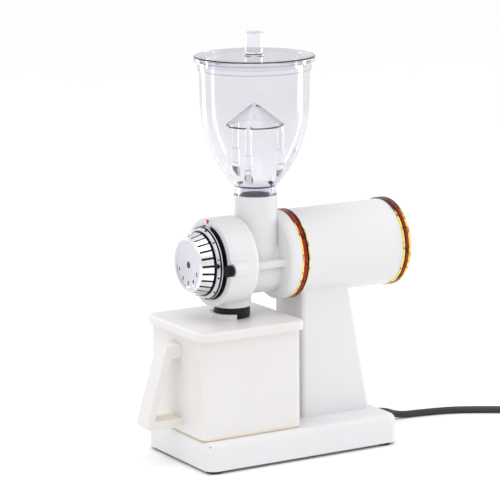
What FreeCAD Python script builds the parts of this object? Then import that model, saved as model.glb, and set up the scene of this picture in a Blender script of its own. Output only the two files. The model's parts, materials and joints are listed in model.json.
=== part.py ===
import FreeCAD, Part
import math
import os
import Sketcher

# Burr coffee grinder, millimetres. +Z is up, the dial faces -Y and the motor points to +Y.
# The origin is on the table, under the middle of the machine.

os.makedirs("parts", exist_ok=True)
doc = FreeCAD.newDocument("BurrGrinder")

DIMS = {
    "axis_height": 180.0,
    "base_half_width": 58.0,
    "base_front": -96.5,
    "base_back": 105.5,
    "base_bottom": 3.0,
    "base_top": 29.0,
    "base_wall": 3.0,
    "base_corner": 10.0,
    "ped_half_width": 25.0,
    "ped_front": 22.0,
    "ped_back_low": 96.7,
    "ped_back_high": 73.0,
    "foot_x": 47.0,
    "foot_front": -85.0,
    "foot_back": 94.0,
    "tube_outer": 40.0,
    "tube_inner": 37.5,
    "tube_front": 12.5,
    "tube_back": 129.5,
    "trim_outer": 41.1,
    "trim_width": 8.0,
    "cap_back": 132.5,
    "shaft_radius": 5.0,
    "bearing_outer": 11.0,
    "core_front": 42.0,
    "core_back": 90.0,
    "rotor_radius": 20.0,
    "stator_outer": 36.9,
    "drum_radius": 40.2,
    "drum_front": -56.7,
    "drum_back": -30.5,
    "chamber_radius": 35.0,
    "plate_front": -61.7,
    "bell_radius": 40.8,
    "bell_front": 2.0,
    "burr_outer": 30.0,
    "burr_inner": 15.0,
    "burr_seat": -35.0,
    "burr_face": -42.0,
    "burr_gap": 0.6,
    "burr_thickness": 7.0,
    "feed_bore": 13.0,
    "throat_y": -12.5,
    "throat_outer": 19.9,
    "throat_bore": 16.5,
    "throat_top": 237.7,
    "spout_y": -38.0,
    "sleeve_outer": 16.4,
    "sleeve_bore": 12.0,
    "sleeve_bottom": 128.3,
    "sleeve_top": 138.6,
    "lug_reach": 49.6,
    "thumb_x": 43.5,
    "dial_front": -84.3,
    "dial_back": -71.0,
    "dial_front_radius": 24.9,
    "dial_back_radius": 28.5,
    "scale_radius": 33.0,
    "recess_radius": 33.8,
    "bowl_radius": 49.8,
    "bowl_wall": 2.2,
    "bowl_top": 359.0,
    "bowl_skirt_radius": 51.0,
    "lid_radius": 54.6,
    "lid_top": 364.0,
    "lid_knob_radius": 7.7,
    "total_height": 385.0,
    "guard_radius": 26.0,
    "guard_apex": 321.0,
    "guard_base": 300.5,
    "guard_leg_circle": 24.2,
    "bin_half_width": 49.5,
    "bin_front": -96.0,
    "bin_back": 6.0,
    "bin_bottom": 29.4,
    "bin_top": 124.8,
    "bin_wall": 2.5,
    "binlid_half_width": 53.0,
    "binlid_front": -99.5,
    "binlid_back": 9.5,
    "binlid_bottom": 120.0,
    "binlid_top": 128.0,
    "handle_half_width": 10.0,
    "cord_radius": 3.3,
    "cord_exit_x": -18.0,
    "cord_exit_z": 12.0,
    "coil_x": 9.0,
    "coil_y": 320.0,
    "coil_outer": 46.4,
    "coil_inner": 26.6,
}

sheet = doc.addObject("Spreadsheet::Sheet", "Dims")
for line, (alias, size) in enumerate(DIMS.items(), start=1):
    sheet.set("A%d" % line, alias)
    sheet.set("B%d" % line, str(size))
    sheet.setAlias("B%d" % line, alias)
doc.recompute()

finished = {}


# ---- driven sizes -------------------------------------------------------------------------

def dim(alias, plus=0.0, times=1.0):
    """A size worked out from the sheet: times * alias + plus."""
    return (alias, float(plus), float(times))


def number(size):
    """The value of a plain number or of a driven size."""
    if isinstance(size, tuple):
        alias, plus, times = size
        return times * DIMS[alias] + plus
    return float(size)


def formula(size):
    """The sheet formula of a driven size."""
    alias, plus, times = size
    return "Dims.%s * %.5f + %.5f" % (alias, times, plus)


def drive(item, prop, size):
    """Set a property, and bind it to the sheet when the size is a driven one."""
    if "." not in prop:
        setattr(item, prop, number(size))
    if isinstance(size, tuple):
        item.setExpression(prop, formula(size))


def place(item, x=0.0, y=0.0, z=0.0, rotation=None):
    """Put an object where it belongs, with its own placement."""
    turn = rotation or FreeCAD.Rotation()
    item.Placement = FreeCAD.Placement(FreeCAD.Vector(number(x), number(y), number(z)), turn)
    for letter, size in (("x", x), ("y", y), ("z", z)):
        drive(item, "Placement.Base." + letter, size)


def finish(label, item):
    """Name a piece and note it for export."""
    item.Label = label
    finished[label] = item
    return item


# ---- sketches and bodies ------------------------------------------------------------------

def new_body(label, x=0.0, y=0.0, z=0.0):
    body = doc.addObject("PartDesign::Body", label + "_body")
    place(body, x, y, z)
    return finish(label, body)


def new_sketch(body, plane, offset=0.0):
    """Sketch on one of the body's own origin planes, moved along that plane's normal."""
    sk = body.newObject("Sketcher::SketchObject", body.Name + "_sketch")
    for feature in body.Origin.OriginFeatures:
        if feature.Role == plane:
            sk.AttachmentSupport = [(feature, "")]
    sk.MapMode = "FlatFace"
    sk.AttachmentOffset = FreeCAD.Placement(FreeCAD.Vector(0, 0, number(offset)), FreeCAD.Rotation())
    if isinstance(offset, tuple):
        sk.setExpression("AttachmentOffset.Base.z", formula(offset))
    return sk


def hold(sk, kind, where, size):
    """Keep a sketch point at a distance from the sketch origin, driven when the size is."""
    value = number(size)
    if abs(value) < 1e-6:
        axis_line = -2 if kind == "DistanceX" else -1
        sk.addConstraint(Sketcher.Constraint("PointOnObject", where[0], where[1], axis_line))
        return
    index = sk.addConstraint(Sketcher.Constraint(kind, -1, 1, where[0], where[1], value))
    if isinstance(size, tuple):
        sk.setExpression("Constraints[%d]" % index, formula(size))


def outline(sk, corners, rounds=None):
    """Closed outline. A side is an arc when rounds gives a point that it passes through."""
    rounds = rounds or {}
    points = [FreeCAD.Vector(number(a), number(b), 0) for a, b in corners]
    count = len(points)
    first = sk.GeometryCount
    starts = []
    ends = []
    for i in range(count):
        here = points[i]
        after = points[(i + 1) % count]
        flipped = False
        if i in rounds:
            middle = FreeCAD.Vector(rounds[i][0], rounds[i][1], 0)
            flipped = (middle - here).cross(after - middle).z < 0
            arc = Part.Arc(after, middle, here) if flipped else Part.Arc(here, middle, after)
            sk.addGeometry(arc, False)
        else:
            sk.addGeometry(Part.LineSegment(here, after), False)
        starts.append((first + i, 2 if flipped else 1))
        ends.append((first + i, 1 if flipped else 2))
    for i in range(count):
        side, end = ends[i]
        next_side, next_end = starts[(i + 1) % count]
        sk.addConstraint(Sketcher.Constraint("Coincident", side, end, next_side, next_end))
    for i, (a, b) in enumerate(corners):
        hold(sk, "DistanceX", starts[i], a)
        hold(sk, "DistanceY", starts[i], b)
    for i in rounds:
        radius = sk.Geometry[first + i].Radius
        sk.addConstraint(Sketcher.Constraint("Radius", first + i, radius))


def circle(sk, a, b, radius):
    """Circle with a driven centre and radius."""
    centre = FreeCAD.Vector(number(a), number(b), 0)
    index = sk.addGeometry(Part.Circle(centre, FreeCAD.Vector(0, 0, 1), number(radius)), False)
    hold(sk, "DistanceX", (index, 3), a)
    hold(sk, "DistanceY", (index, 3), b)
    held = sk.addConstraint(Sketcher.Constraint("Radius", index, number(radius)))
    if isinstance(radius, tuple):
        sk.setExpression("Constraints[%d]" % held, formula(radius))


def frame_of(left, low, right, high):
    """The four corners of an upright rectangle."""
    return [(left, low), (right, low), (right, high), (left, high)]


def extrude(body, kind, sk, length, reverse=False, midplane=False):
    """Pad or pocket of a sketch."""
    step = body.newObject("PartDesign::" + kind, body.Name + "_" + kind.lower())
    step.Profile = sk
    drive(step, "Length", length)
    step.Reversed = reverse
    step.Midplane = midplane
    doc.recompute()
    return step


def spin(body, kind, sk, axis):
    """Full revolution or groove about a sketch axis."""
    step = body.newObject("PartDesign::" + kind, body.Name + "_" + kind.lower())
    step.Profile = sk
    step.ReferenceAxis = (sk, [axis])
    step.Angle = 360.0
    doc.recompute()
    return step


def dress(body, kind, base, edges, size):
    """Fillet or chamfer of chosen edges of the last feature."""
    step = body.newObject("PartDesign::" + kind, body.Name + "_" + kind.lower())
    step.Base = (base, edges)
    drive(step, "Radius" if kind == "Fillet" else "Size", size)
    doc.recompute()
    return step


def edges_where(shape, test):
    """Names of the edges that pass a test on their two ends."""
    names = []
    for index, edge in enumerate(shape.Edges, start=1):
        ends = [v.Point for v in edge.Vertexes]
        if len(ends) == 2 and test(ends[0], ends[1]):
            names.append("Edge%d" % index)
    return names


def upright(a, b):
    """True for an edge that runs along Z."""
    return abs(a.x - b.x) < 1e-4 and abs(a.y - b.y) < 1e-4


def turned_along_y(label, corners, rounds=None):
    """Solid of revolution about the motor axis. Corners are (Y, radius)."""
    body = new_body(label, z=dim("axis_height"))
    sk = new_sketch(body, "YZ_Plane")
    outline(sk, corners, rounds)
    spin(body, "Revolution", sk, "H_Axis")
    return body


def turned_upright(label, corners, y, x=0.0, rounds=None):
    """Solid of revolution about a vertical axis. Corners are (radius, Z)."""
    body = new_body(label, x=x, y=y)
    sk = new_sketch(body, "XZ_Plane")
    outline(sk, corners, rounds)
    spin(body, "Revolution", sk, "V_Axis")
    return body


def ring_corners(start, end, inner, outer):
    """Section of a plain ring: two places along the axis and two radii."""
    return [(start, inner), (end, inner), (end, outer), (start, outer)]


# ---- plain solids -------------------------------------------------------------------------

ALONG = {
    "X": FreeCAD.Rotation(FreeCAD.Vector(0, 1, 0), 90),
    "Y": FreeCAD.Rotation(FreeCAD.Vector(1, 0, 0), -90),
    "Z": FreeCAD.Rotation(),
}


def rod(name, radius, length, x, y, z, along="Z"):
    """Cylinder that starts at x, y, z and runs along an axis."""
    item = doc.addObject("Part::Cylinder", name)
    drive(item, "Radius", radius)
    drive(item, "Height", length)
    place(item, x, y, z, ALONG[along])
    return item


def block(name, size, x, y, z):
    """Box with its lowest corner at x, y, z."""
    item = doc.addObject("Part::Box", name)
    for prop, value in zip(("Length", "Width", "Height"), size):
        drive(item, prop, value)
    place(item, x, y, z)
    return item


def cone(name, low_radius, high_radius, length, x, y, z, along="Z"):
    """Truncated cone that starts at x, y, z and runs along an axis."""
    item = doc.addObject("Part::Cone", name)
    drive(item, "Radius1", low_radius)
    drive(item, "Radius2", high_radius)
    drive(item, "Height", length)
    place(item, x, y, z, ALONG[along])
    return item


def join(name, items):
    item = doc.addObject("Part::MultiFuse", name)
    item.Shapes = items
    return item


def group(name, items):
    """Separate solids kept in one object."""
    item = doc.addObject("Part::Compound", name)
    item.Links = items
    return item


def remove(name, base, tool):
    item = doc.addObject("Part::Cut", name)
    item.Base = base
    item.Tool = tool
    return item


# ---- stand --------------------------------------------------------------------------------

CORD_HOLE_RADIUS = 5.0
SWITCH_Y = 52.0
SWITCH_Z = 74.0
SADDLE_BOLTS_Y = (32.0, 62.0)
FOOT_PLACES = [
    (side * DIMS["foot_x"], y)
    for side in (-1, 1)
    for y in (DIMS["foot_front"], DIMS["foot_back"])
]


def make_stand():
    """Base and pedestal in one hollow casting, with a saddle for the motor tube."""
    body = new_body("stand")
    sk = new_sketch(body, "XY_Plane", dim("base_bottom"))
    half = dim("base_half_width")
    minus_half = dim("base_half_width", times=-1)
    outline(sk, frame_of(minus_half, dim("base_front"), half, dim("base_back")))
    base = extrude(body, "Pad", sk, dim("base_top", -DIMS["base_bottom"]))
    corners = dress(body, "Fillet", base, edges_where(base.Shape, upright), dim("base_corner"))
    top = DIMS["base_top"]
    rim = [
        "Edge%d" % i
        for i, edge in enumerate(corners.Shape.Edges, start=1)
        if all(abs(v.Z - top) < 1e-4 for v in edge.Vertexes)
    ]
    dress(body, "Fillet", corners, rim, 6.0)

    post = new_sketch(body, "YZ_Plane")
    outline(post, [
        (dim("ped_front"), 20.0),
        (dim("ped_back_low"), 20.0),
        (dim("ped_back_high"), 145.0),
        (dim("ped_back_high", -1.5), 163.0),
        (dim("ped_front"), 163.0),
    ])
    column = extrude(body, "Pad", post, dim("ped_half_width", times=2), midplane=True)
    side = DIMS["ped_half_width"]

    def column_edge(a, b):
        on_side = abs(abs(a.x) - side) < 1e-4 and abs(a.x - b.x) < 1e-4
        return on_side and abs(a.z - b.z) > 15 and a.y > 15 and b.y > 15
    dress(body, "Fillet", column, edges_where(column.Shape, column_edge), 4.0)

    saddle = new_sketch(body, "XZ_Plane", -60.0)
    circle(saddle, 0.0, dim("axis_height"), dim("tube_outer"))
    extrude(body, "Pocket", saddle, 140.0, midplane=True)

    hollow = new_sketch(body, "XY_Plane")
    wall = DIMS["base_wall"]
    outline(hollow, frame_of(
        dim("base_half_width", wall, -1),
        dim("base_front", wall),
        dim("base_half_width", -wall),
        dim("base_back", -wall),
    ))
    extrude(body, "Pocket", hollow, dim("base_top", -wall), reverse=True)

    inside = new_sketch(body, "YZ_Plane")
    outline(inside, [
        (dim("ped_front", wall), 20.0),
        (dim("ped_back_low", -wall - 2.1), 20.0),
        (dim("ped_back_high", 1.0), 126.0),
        (dim("ped_front", wall), 126.0),
    ])
    extrude(body, "Pocket", inside, dim("ped_half_width", -2 * wall, 2), midplane=True)

    for x, y in FOOT_PLACES:
        boss = new_sketch(body, "XY_Plane", 5.6)
        circle(boss, x, y, 5.0)
        circle(boss, x, y, 1.6)
        extrude(body, "Pad", boss, 22.0)

    gland = new_sketch(body, "XZ_Plane", -96.0)
    circle(gland, dim("cord_exit_x"), dim("cord_exit_z"), CORD_HOLE_RADIUS)
    extrude(body, "Pocket", gland, 30.0, midplane=True)

    switch = new_sketch(body, "YZ_Plane", dim("ped_half_width", times=-1))
    outline(switch, frame_of(SWITCH_Y - 6.0, SWITCH_Z - 9.5, SWITCH_Y + 6.0, SWITCH_Z + 9.5))
    extrude(body, "Pocket", switch, 12.0, midplane=True)

    bolts = new_sketch(body, "XY_Plane", 120.0)
    for y in SADDLE_BOLTS_Y:
        circle(bolts, 0.0, y, 2.05)
    circle(bolts, 0.0, 47.0, 5.0)
    extrude(body, "Pocket", bolts, 45.0, reverse=True)


def make_bottom():
    """Cover plate, its screws and the rubber feet that stand under it."""
    body = new_body("bottom_cover")
    sk = new_sketch(body, "XY_Plane", dim("base_bottom"))
    inset = DIMS["base_wall"] + 0.2
    outline(sk, frame_of(
        dim("base_half_width", inset, -1),
        dim("base_front", inset),
        dim("base_half_width", -inset),
        dim("base_back", -inset),
    ))
    plate = extrude(body, "Pad", sk, 2.6)
    dress(body, "Fillet", plate, edges_where(plate.Shape, upright), 6.0)
    holes = new_sketch(body, "XY_Plane", dim("base_bottom"))
    for x, y in FOOT_PLACES:
        circle(holes, x, y, 1.6)
    extrude(body, "Pocket", holes, 4.0, reverse=True)

    feet = []
    screws = []
    for index, (x, y) in enumerate(FOOT_PLACES):
        pad = cone("foot_pad_%d" % index, 7.5, 8.5, 3.0, x, y, 0.0)
        sink = rod("foot_sink_%d" % index, 3.1, 1.6, x, y, 0.0)
        hole = rod("foot_hole_%d" % index, 1.6, 3.0, x, y, 0.0)
        feet.append(remove("foot_%d" % index, pad, join("foot_bore_%d" % index, [sink, hole])))
        head = rod("cover_screw_head_%d" % index, 3.0, 1.1, x, y, 0.5)
        shank = rod("cover_screw_shank_%d" % index, 1.5, 18.0, x, y, 1.6)
        screws.append(join("cover_screw_%d" % index, [head, shank]))
    finish("rubber_feet", group("rubber_feet", feet))
    finish("bottom_cover_screws", group("bottom_cover_screws", screws))


def make_electrics():
    """Run capacitor, terminal block, motor leads, rocker switch and cord grip."""
    can = rod("capacitor_can", 13.0, 46.0, 0.0, 65.0, 33.0)
    studs = [
        rod("capacitor_stud_%d" % i, 1.5, 5.0, 5.0 * side, 65.0, 79.0)
        for i, side in enumerate((-1, 1))
    ]
    finish("run_capacitor", join("run_capacitor", [can] + studs))

    strip = block("terminal_strip", (30.0, 14.0, 10.0), -33.0, 70.0, 5.6)
    screws = [rod("terminal_screw_%d" % i, 2.0, 2.0, -28.0 + 10.0 * i, 77.0, 15.6) for i in range(3)]
    finish("terminal_block", join("terminal_block", [strip] + screws))

    lead = doc.addObject("Part::Feature", "motor_leads")
    route = [(-16.0, 47.0, 30.0), (-16.0, 47.0, 100.0), (0.0, 47.0, 116.0), (0.0, 47.0, 142.0)]
    path, _ = rounded_path(route)
    ring = Part.Wire(Part.makeCircle(1.6, FreeCAD.Vector(*route[0]), FreeCAD.Vector(0, 0, 1)))
    lead.Shape = path.makePipeShell([ring], True, False)
    finish("motor_leads", lead)

    face_x = -DIMS["ped_half_width"]
    rim = block("switch_rim", (2.0, 15.0, 22.0), face_x - 2.0, SWITCH_Y - 7.5, SWITCH_Z - 11.0)
    case = block("switch_case", (5.5, 11.8, 18.8), face_x, SWITCH_Y - 5.9, SWITCH_Z - 9.4)
    mouth = block("switch_mouth", (6.0, 9.4, 16.4), face_x - 3.0, SWITCH_Y - 4.7, SWITCH_Z - 8.2)
    pivot_hole = rod("switch_pivot_hole", 1.15, 11.0, face_x, SWITCH_Y - 5.5, SWITCH_Z, "Y")
    opening = join("switch_opening", [mouth, pivot_hole])
    finish("switch_bezel", remove("switch_bezel", join("switch_shell", [rim, case]), opening))

    body = new_body("switch_rocker", x=face_x, y=SWITCH_Y, z=SWITCH_Z)
    sk = new_sketch(body, "XZ_Plane")
    outline(sk, [
        (1.0, -5.0), (1.0, 5.0), (-0.6, 6.8), (-3.6, 6.8), (-1.6, 0.0), (-3.6, -6.8), (-0.6, -6.8),
    ])
    extrude(body, "Pad", sk, 8.8, midplane=True)
    pivot = new_sketch(body, "XZ_Plane")
    circle(pivot, 0.0, 0.0, 1.0)
    extrude(body, "Pad", pivot, 10.6, midplane=True)


def make_cord_grip():
    """Strain relief: a barbed plug in the base wall with a tapered tail."""
    exit_x = dim("cord_exit_x")
    exit_z = dim("cord_exit_z")
    wall_y = DIMS["base_back"]
    inner = rod("grip_inner", 6.2, 4.0, exit_x, wall_y - 7.2, exit_z, "Y")
    neck = rod("grip_neck", CORD_HOLE_RADIUS, 4.0, exit_x, wall_y - 3.5, exit_z, "Y")
    flange = rod("grip_flange", 6.2, 2.0, exit_x, wall_y, exit_z, "Y")
    tail = cone("grip_tail", 5.6, 4.2, 20.0, exit_x, wall_y + 2.0, exit_z, "Y")
    bore = rod("grip_bore", dim("cord_radius"), 40.0, exit_x, wall_y - 10.0, exit_z, "Y")
    finish("cord_grip", remove("cord_grip", join("grip_solid", [inner, neck, flange, tail]), bore))


# ---- motor --------------------------------------------------------------------------------

TIE_ROD_CIRCLE = 34.6
TIE_NUT_CIRCLE = 34.25
SLOT_COUNT = 12
STRIPE_COUNT = 4
BLADE_COUNT = 8
CAP_SCREW_CIRCLE = 33.0
CAP_SCREW_ANGLES = (90, 210, 330)


def make_motor_shell():
    """Motor tube, striped trim rings and the vented end cap with its screws."""
    body = turned_along_y("motor_tube", ring_corners(
        dim("tube_front"), dim("tube_back"), dim("tube_inner"), dim("tube_outer")))
    sk = new_sketch(body, "XY_Plane", -DIMS["tube_outer"] - 2.0)
    for y in SADDLE_BOLTS_Y:
        circle(sk, 0.0, y, 2.05)
    circle(sk, 0.0, 47.0, 5.0)
    extrude(body, "Pocket", sk, 8.0, reverse=True)

    trim_ring("front_trim_ring", "tube_front", 0.0)
    trim_ring("rear_trim_ring", "tube_back", -DIMS["trim_width"])

    cap = turned_along_y("motor_end_cap", [
        (dim("tube_back", -6.0), 35.2),
        (dim("tube_back", -6.0), dim("tube_inner", -0.1)),
        (dim("tube_back"), dim("tube_inner", -0.1)),
        (dim("tube_back"), 39.6),
        (dim("cap_back", -1.2), 39.6),
        (dim("cap_back"), 38.0),
        (dim("cap_back"), 0.0),
        (dim("tube_back"), 0.0),
        (dim("tube_back"), 35.2),
    ])
    vents = new_sketch(cap, "XZ_Plane", dim("cap_back", 1.0, -1))
    for row in range(7):
        height = -18.0 + 6.0 * row
        reach = math.sqrt(27.0 ** 2 - height ** 2)
        outline(vents, frame_of(-reach, height - 1.2, reach, height + 1.2))
    extrude(cap, "Pocket", vents, 8.0, midplane=True)
    holes = new_sketch(cap, "XZ_Plane", dim("cap_back", 0.0, -1))
    back = DIMS["cap_back"]
    screws = []
    for index, degrees in enumerate(CAP_SCREW_ANGLES):
        x = CAP_SCREW_CIRCLE * math.cos(math.radians(degrees))
        height = CAP_SCREW_CIRCLE * math.sin(math.radians(degrees))
        z = DIMS["axis_height"] + height
        circle(holes, x, height, 1.6)
        shank = rod("cap_screw_shank_%d" % index, 1.5, 12.0, x, back - 12.0, z, "Y")
        head = cone("cap_screw_head_%d" % index, 3.0, 2.0, 1.3, x, back, z, "Y")
        slot = block("cap_screw_slot_%d" % index, (3.0, 1.0, 0.7), x - 1.5, back + 0.7, z - 0.35)
        solid = join("cap_screw_solid_%d" % index, [shank, head])
        screws.append(remove("cap_screw_%d" % index, solid, slot))
    extrude(cap, "Pocket", holes, 8.0, midplane=True)
    finish("end_cap_screws", group("end_cap_screws", screws))


def trim_ring(label, alias, shift):
    """Ring round the tube with one low ridge for each of its coloured stripes."""
    crest = dim("trim_outer")
    valley = dim("trim_outer", -0.35)
    width = DIMS["trim_width"]
    stripe_width = width / STRIPE_COUNT
    section = [(dim(alias, shift), dim("tube_outer"))]
    for stripe in range(STRIPE_COUNT):
        start = shift + stripe_width * stripe
        section.append((dim(alias, start), valley))
        section.append((dim(alias, start + 0.3), crest))
        section.append((dim(alias, start + stripe_width - 0.3), crest))
    section.append((dim(alias, shift + width), valley))
    section.append((dim(alias, shift + width), dim("tube_outer")))
    turned_along_y(label, section)


def make_stator():
    """Slotted iron core with windings that pass through the slots."""
    slot_ring = 27.0
    body = turned_along_y("stator_core", ring_corners(
        dim("core_front"), dim("core_back"), dim("rotor_radius", 0.5), dim("stator_outer")))
    sk = new_sketch(body, "XZ_Plane", dim("core_front", 1.0, -1))
    for slot in range(SLOT_COUNT):
        angle = 2 * math.pi * slot / SLOT_COUNT
        circle(sk, slot_ring * math.cos(angle), slot_ring * math.sin(angle), 3.4)
    for quarter in range(4):
        angle = math.pi * (0.25 + 0.5 * quarter)
        circle(sk, TIE_ROD_CIRCLE * math.cos(angle), TIE_ROD_CIRCLE * math.sin(angle), 2.4)
    extrude(body, "Pocket", sk, 52.0)

    coils = turned_along_y("stator_windings", ring_corners(
        dim("core_front", -9.0), dim("core_front", -1.0), 22.5, 31.0))
    bars = new_sketch(coils, "XZ_Plane", dim("core_front", 2.0, -1))
    for slot in range(SLOT_COUNT):
        angle = 2 * math.pi * slot / SLOT_COUNT
        circle(bars, slot_ring * math.cos(angle), slot_ring * math.sin(angle), 3.0)
    extrude(coils, "Pad", bars, 52.0, reverse=True)
    back = new_sketch(coils, "YZ_Plane")
    outline(back, ring_corners(dim("core_back", 1.0), dim("core_back", 9.0), 22.5, 31.0))
    spin(coils, "Revolution", back, "H_Axis")


def make_rotor():
    """Shaft, squirrel-cage core, cooling fan and feed screw."""
    shaft = dim("shaft_radius")
    turned_along_y("motor_shaft", [
        (-51.5, 0.0), (-51.5, shaft), (119.0, shaft), (121.0, 3.5), (121.0, 0.0),
    ])
    turned_along_y("rotor_core", ring_corners(
        dim("core_front"), dim("core_back"), shaft, dim("rotor_radius")))

    fan = turned_along_y("cooling_fan", [
        (103.0, shaft), (109.5, shaft), (109.5, 9.0), (105.0, 10.5), (105.0, 31.0), (103.5, 31.0),
        (103.5, 10.5), (103.0, 9.0),
    ])
    blades = new_sketch(fan, "XZ_Plane", -104.5)
    root = 8.6
    tip = 30.5
    half = 0.7
    for blade in range(BLADE_COUNT):
        angle = 2 * math.pi * blade / BLADE_COUNT
        ux = math.cos(angle)
        uz = math.sin(angle)
        outline(blades, [
            (root * ux + half * uz, root * uz - half * ux),
            (tip * ux + half * uz, tip * uz - half * ux),
            (tip * ux - half * uz, tip * uz + half * ux),
            (root * ux - half * uz, root * uz + half * ux),
        ])
    extrude(fan, "Pad", blades, 4.8, reverse=True)

    screw = turned_along_y("feed_screw", ring_corners(-31.0, -3.0, shaft, 7.0))
    flight = new_sketch(screw, "YZ_Plane")
    outline(flight, frame_of(-29.0, 6.5, -26.8, dim("feed_bore", -0.6)))
    helix = screw.newObject("PartDesign::AdditiveHelix", "feed_flight")
    helix.Profile = flight
    helix.ReferenceAxis = (flight, ["H_Axis"])
    helix.Mode = 0
    helix.Pitch = 11.5
    helix.Height = 23.0
    doc.recompute()


def ball_bearing(label, start):
    """Closed bearing: one ring section with shields sunk a little on both sides."""
    inner = dim("shaft_radius")
    outer = dim("bearing_outer")
    turned_along_y(label, [
        (start, inner), (start + 7.0, inner), (start + 7.0, 6.8), (start + 6.5, 6.8), (start + 6.5, 9.2),
        (start + 7.0, 9.2), (start + 7.0, outer), (start, outer), (start, 9.2), (start + 0.5, 9.2),
        (start + 0.5, 6.8), (start, 6.8),
    ])


def make_motor_mounting():
    """Bearings, rear bearing plate, tie rods and saddle bolts."""
    ball_bearing("front_bearing", BEARING_FRONT)
    ball_bearing("rear_bearing", 112.0)
    plate = turned_along_y("rear_bearing_plate", [
        (112.0, dim("bearing_outer")), (112.0, 14.0), (113.0, 14.0), (113.0, dim("stator_outer")),
        (116.0, dim("stator_outer")), (116.0, 14.0), (121.5, 14.0), (121.5, 8.0), (119.1, 8.0),
        (119.1, dim("bearing_outer")),
    ])
    holes = new_sketch(plate, "XZ_Plane", -110.0)
    rods = []
    for quarter in range(4):
        angle = math.pi * (0.25 + 0.5 * quarter)
        x = TIE_ROD_CIRCLE * math.cos(angle)
        z = TIE_ROD_CIRCLE * math.sin(angle)
        circle(holes, x, z, 2.05)
        bar = rod("tie_rod_bar_%d" % quarter, 2.0, 99.5, x, 18.2, DIMS["axis_height"] + z, "Y")
        nut_x = TIE_NUT_CIRCLE * math.cos(angle)
        nut_z = DIMS["axis_height"] + TIE_NUT_CIRCLE * math.sin(angle)
        nut = rod("tie_rod_nut_%d" % quarter, 2.6, 2.4, nut_x, 116.0, nut_z, "Y")
        rods.append(join("tie_rod_%d" % quarter, [bar, nut]))
    for port in range(4):
        angle = math.pi * 0.5 * port
        circle(holes, 24.0 * math.cos(angle), 24.0 * math.sin(angle), 6.5)
    extrude(plate, "Pocket", holes, 10.0)
    finish("motor_tie_rods", group("motor_tie_rods", rods))

    bolts = []
    for index, y in enumerate(SADDLE_BOLTS_Y):
        shank = rod("saddle_shank_%d" % index, 2.0, 16.4, 0.0, y, 125.9)
        head = rod("saddle_head_%d" % index, 4.0, 3.0, 0.0, y, 122.9)
        bolts.append(join("saddle_bolt_%d" % index, [shank, head]))
    finish("saddle_bolts", group("saddle_bolts", bolts))


# ---- grinding head ------------------------------------------------------------------------

CASTING_ROUND = 6.0
NECK_RADIUS = 18.0
BELL_ROUND = 5.0
BELL_SPIGOT_END = 18.0
BELL_RECESS_START = 13.0
BEARING_FRONT = 5.2
GRIP_COUNT = 10
RECESS_DEPTH = 1.5
LUG_ROOT = 37.0
LUG_HALF_HEIGHT = 6.1


def add_lugs(body, length, reverse=False):
    """A round-ended lug on each side of a disc, starting from the drum's front."""
    tip = DIMS["lug_reach"] - LUG_HALF_HEIGHT
    blocks = new_sketch(body, "XZ_Plane", dim("drum_front", times=-1))
    tips = new_sketch(body, "XZ_Plane", dim("drum_front", times=-1))
    for side in (-1, 1):
        near, far = sorted((side * LUG_ROOT, side * tip))
        outline(blocks, frame_of(near, -LUG_HALF_HEIGHT, far, LUG_HALF_HEIGHT))
        circle(tips, side * tip, 0.0, LUG_HALF_HEIGHT)
    extrude(body, "Pad", blocks, length, reverse)
    extrude(body, "Pad", tips, length, reverse)


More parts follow.
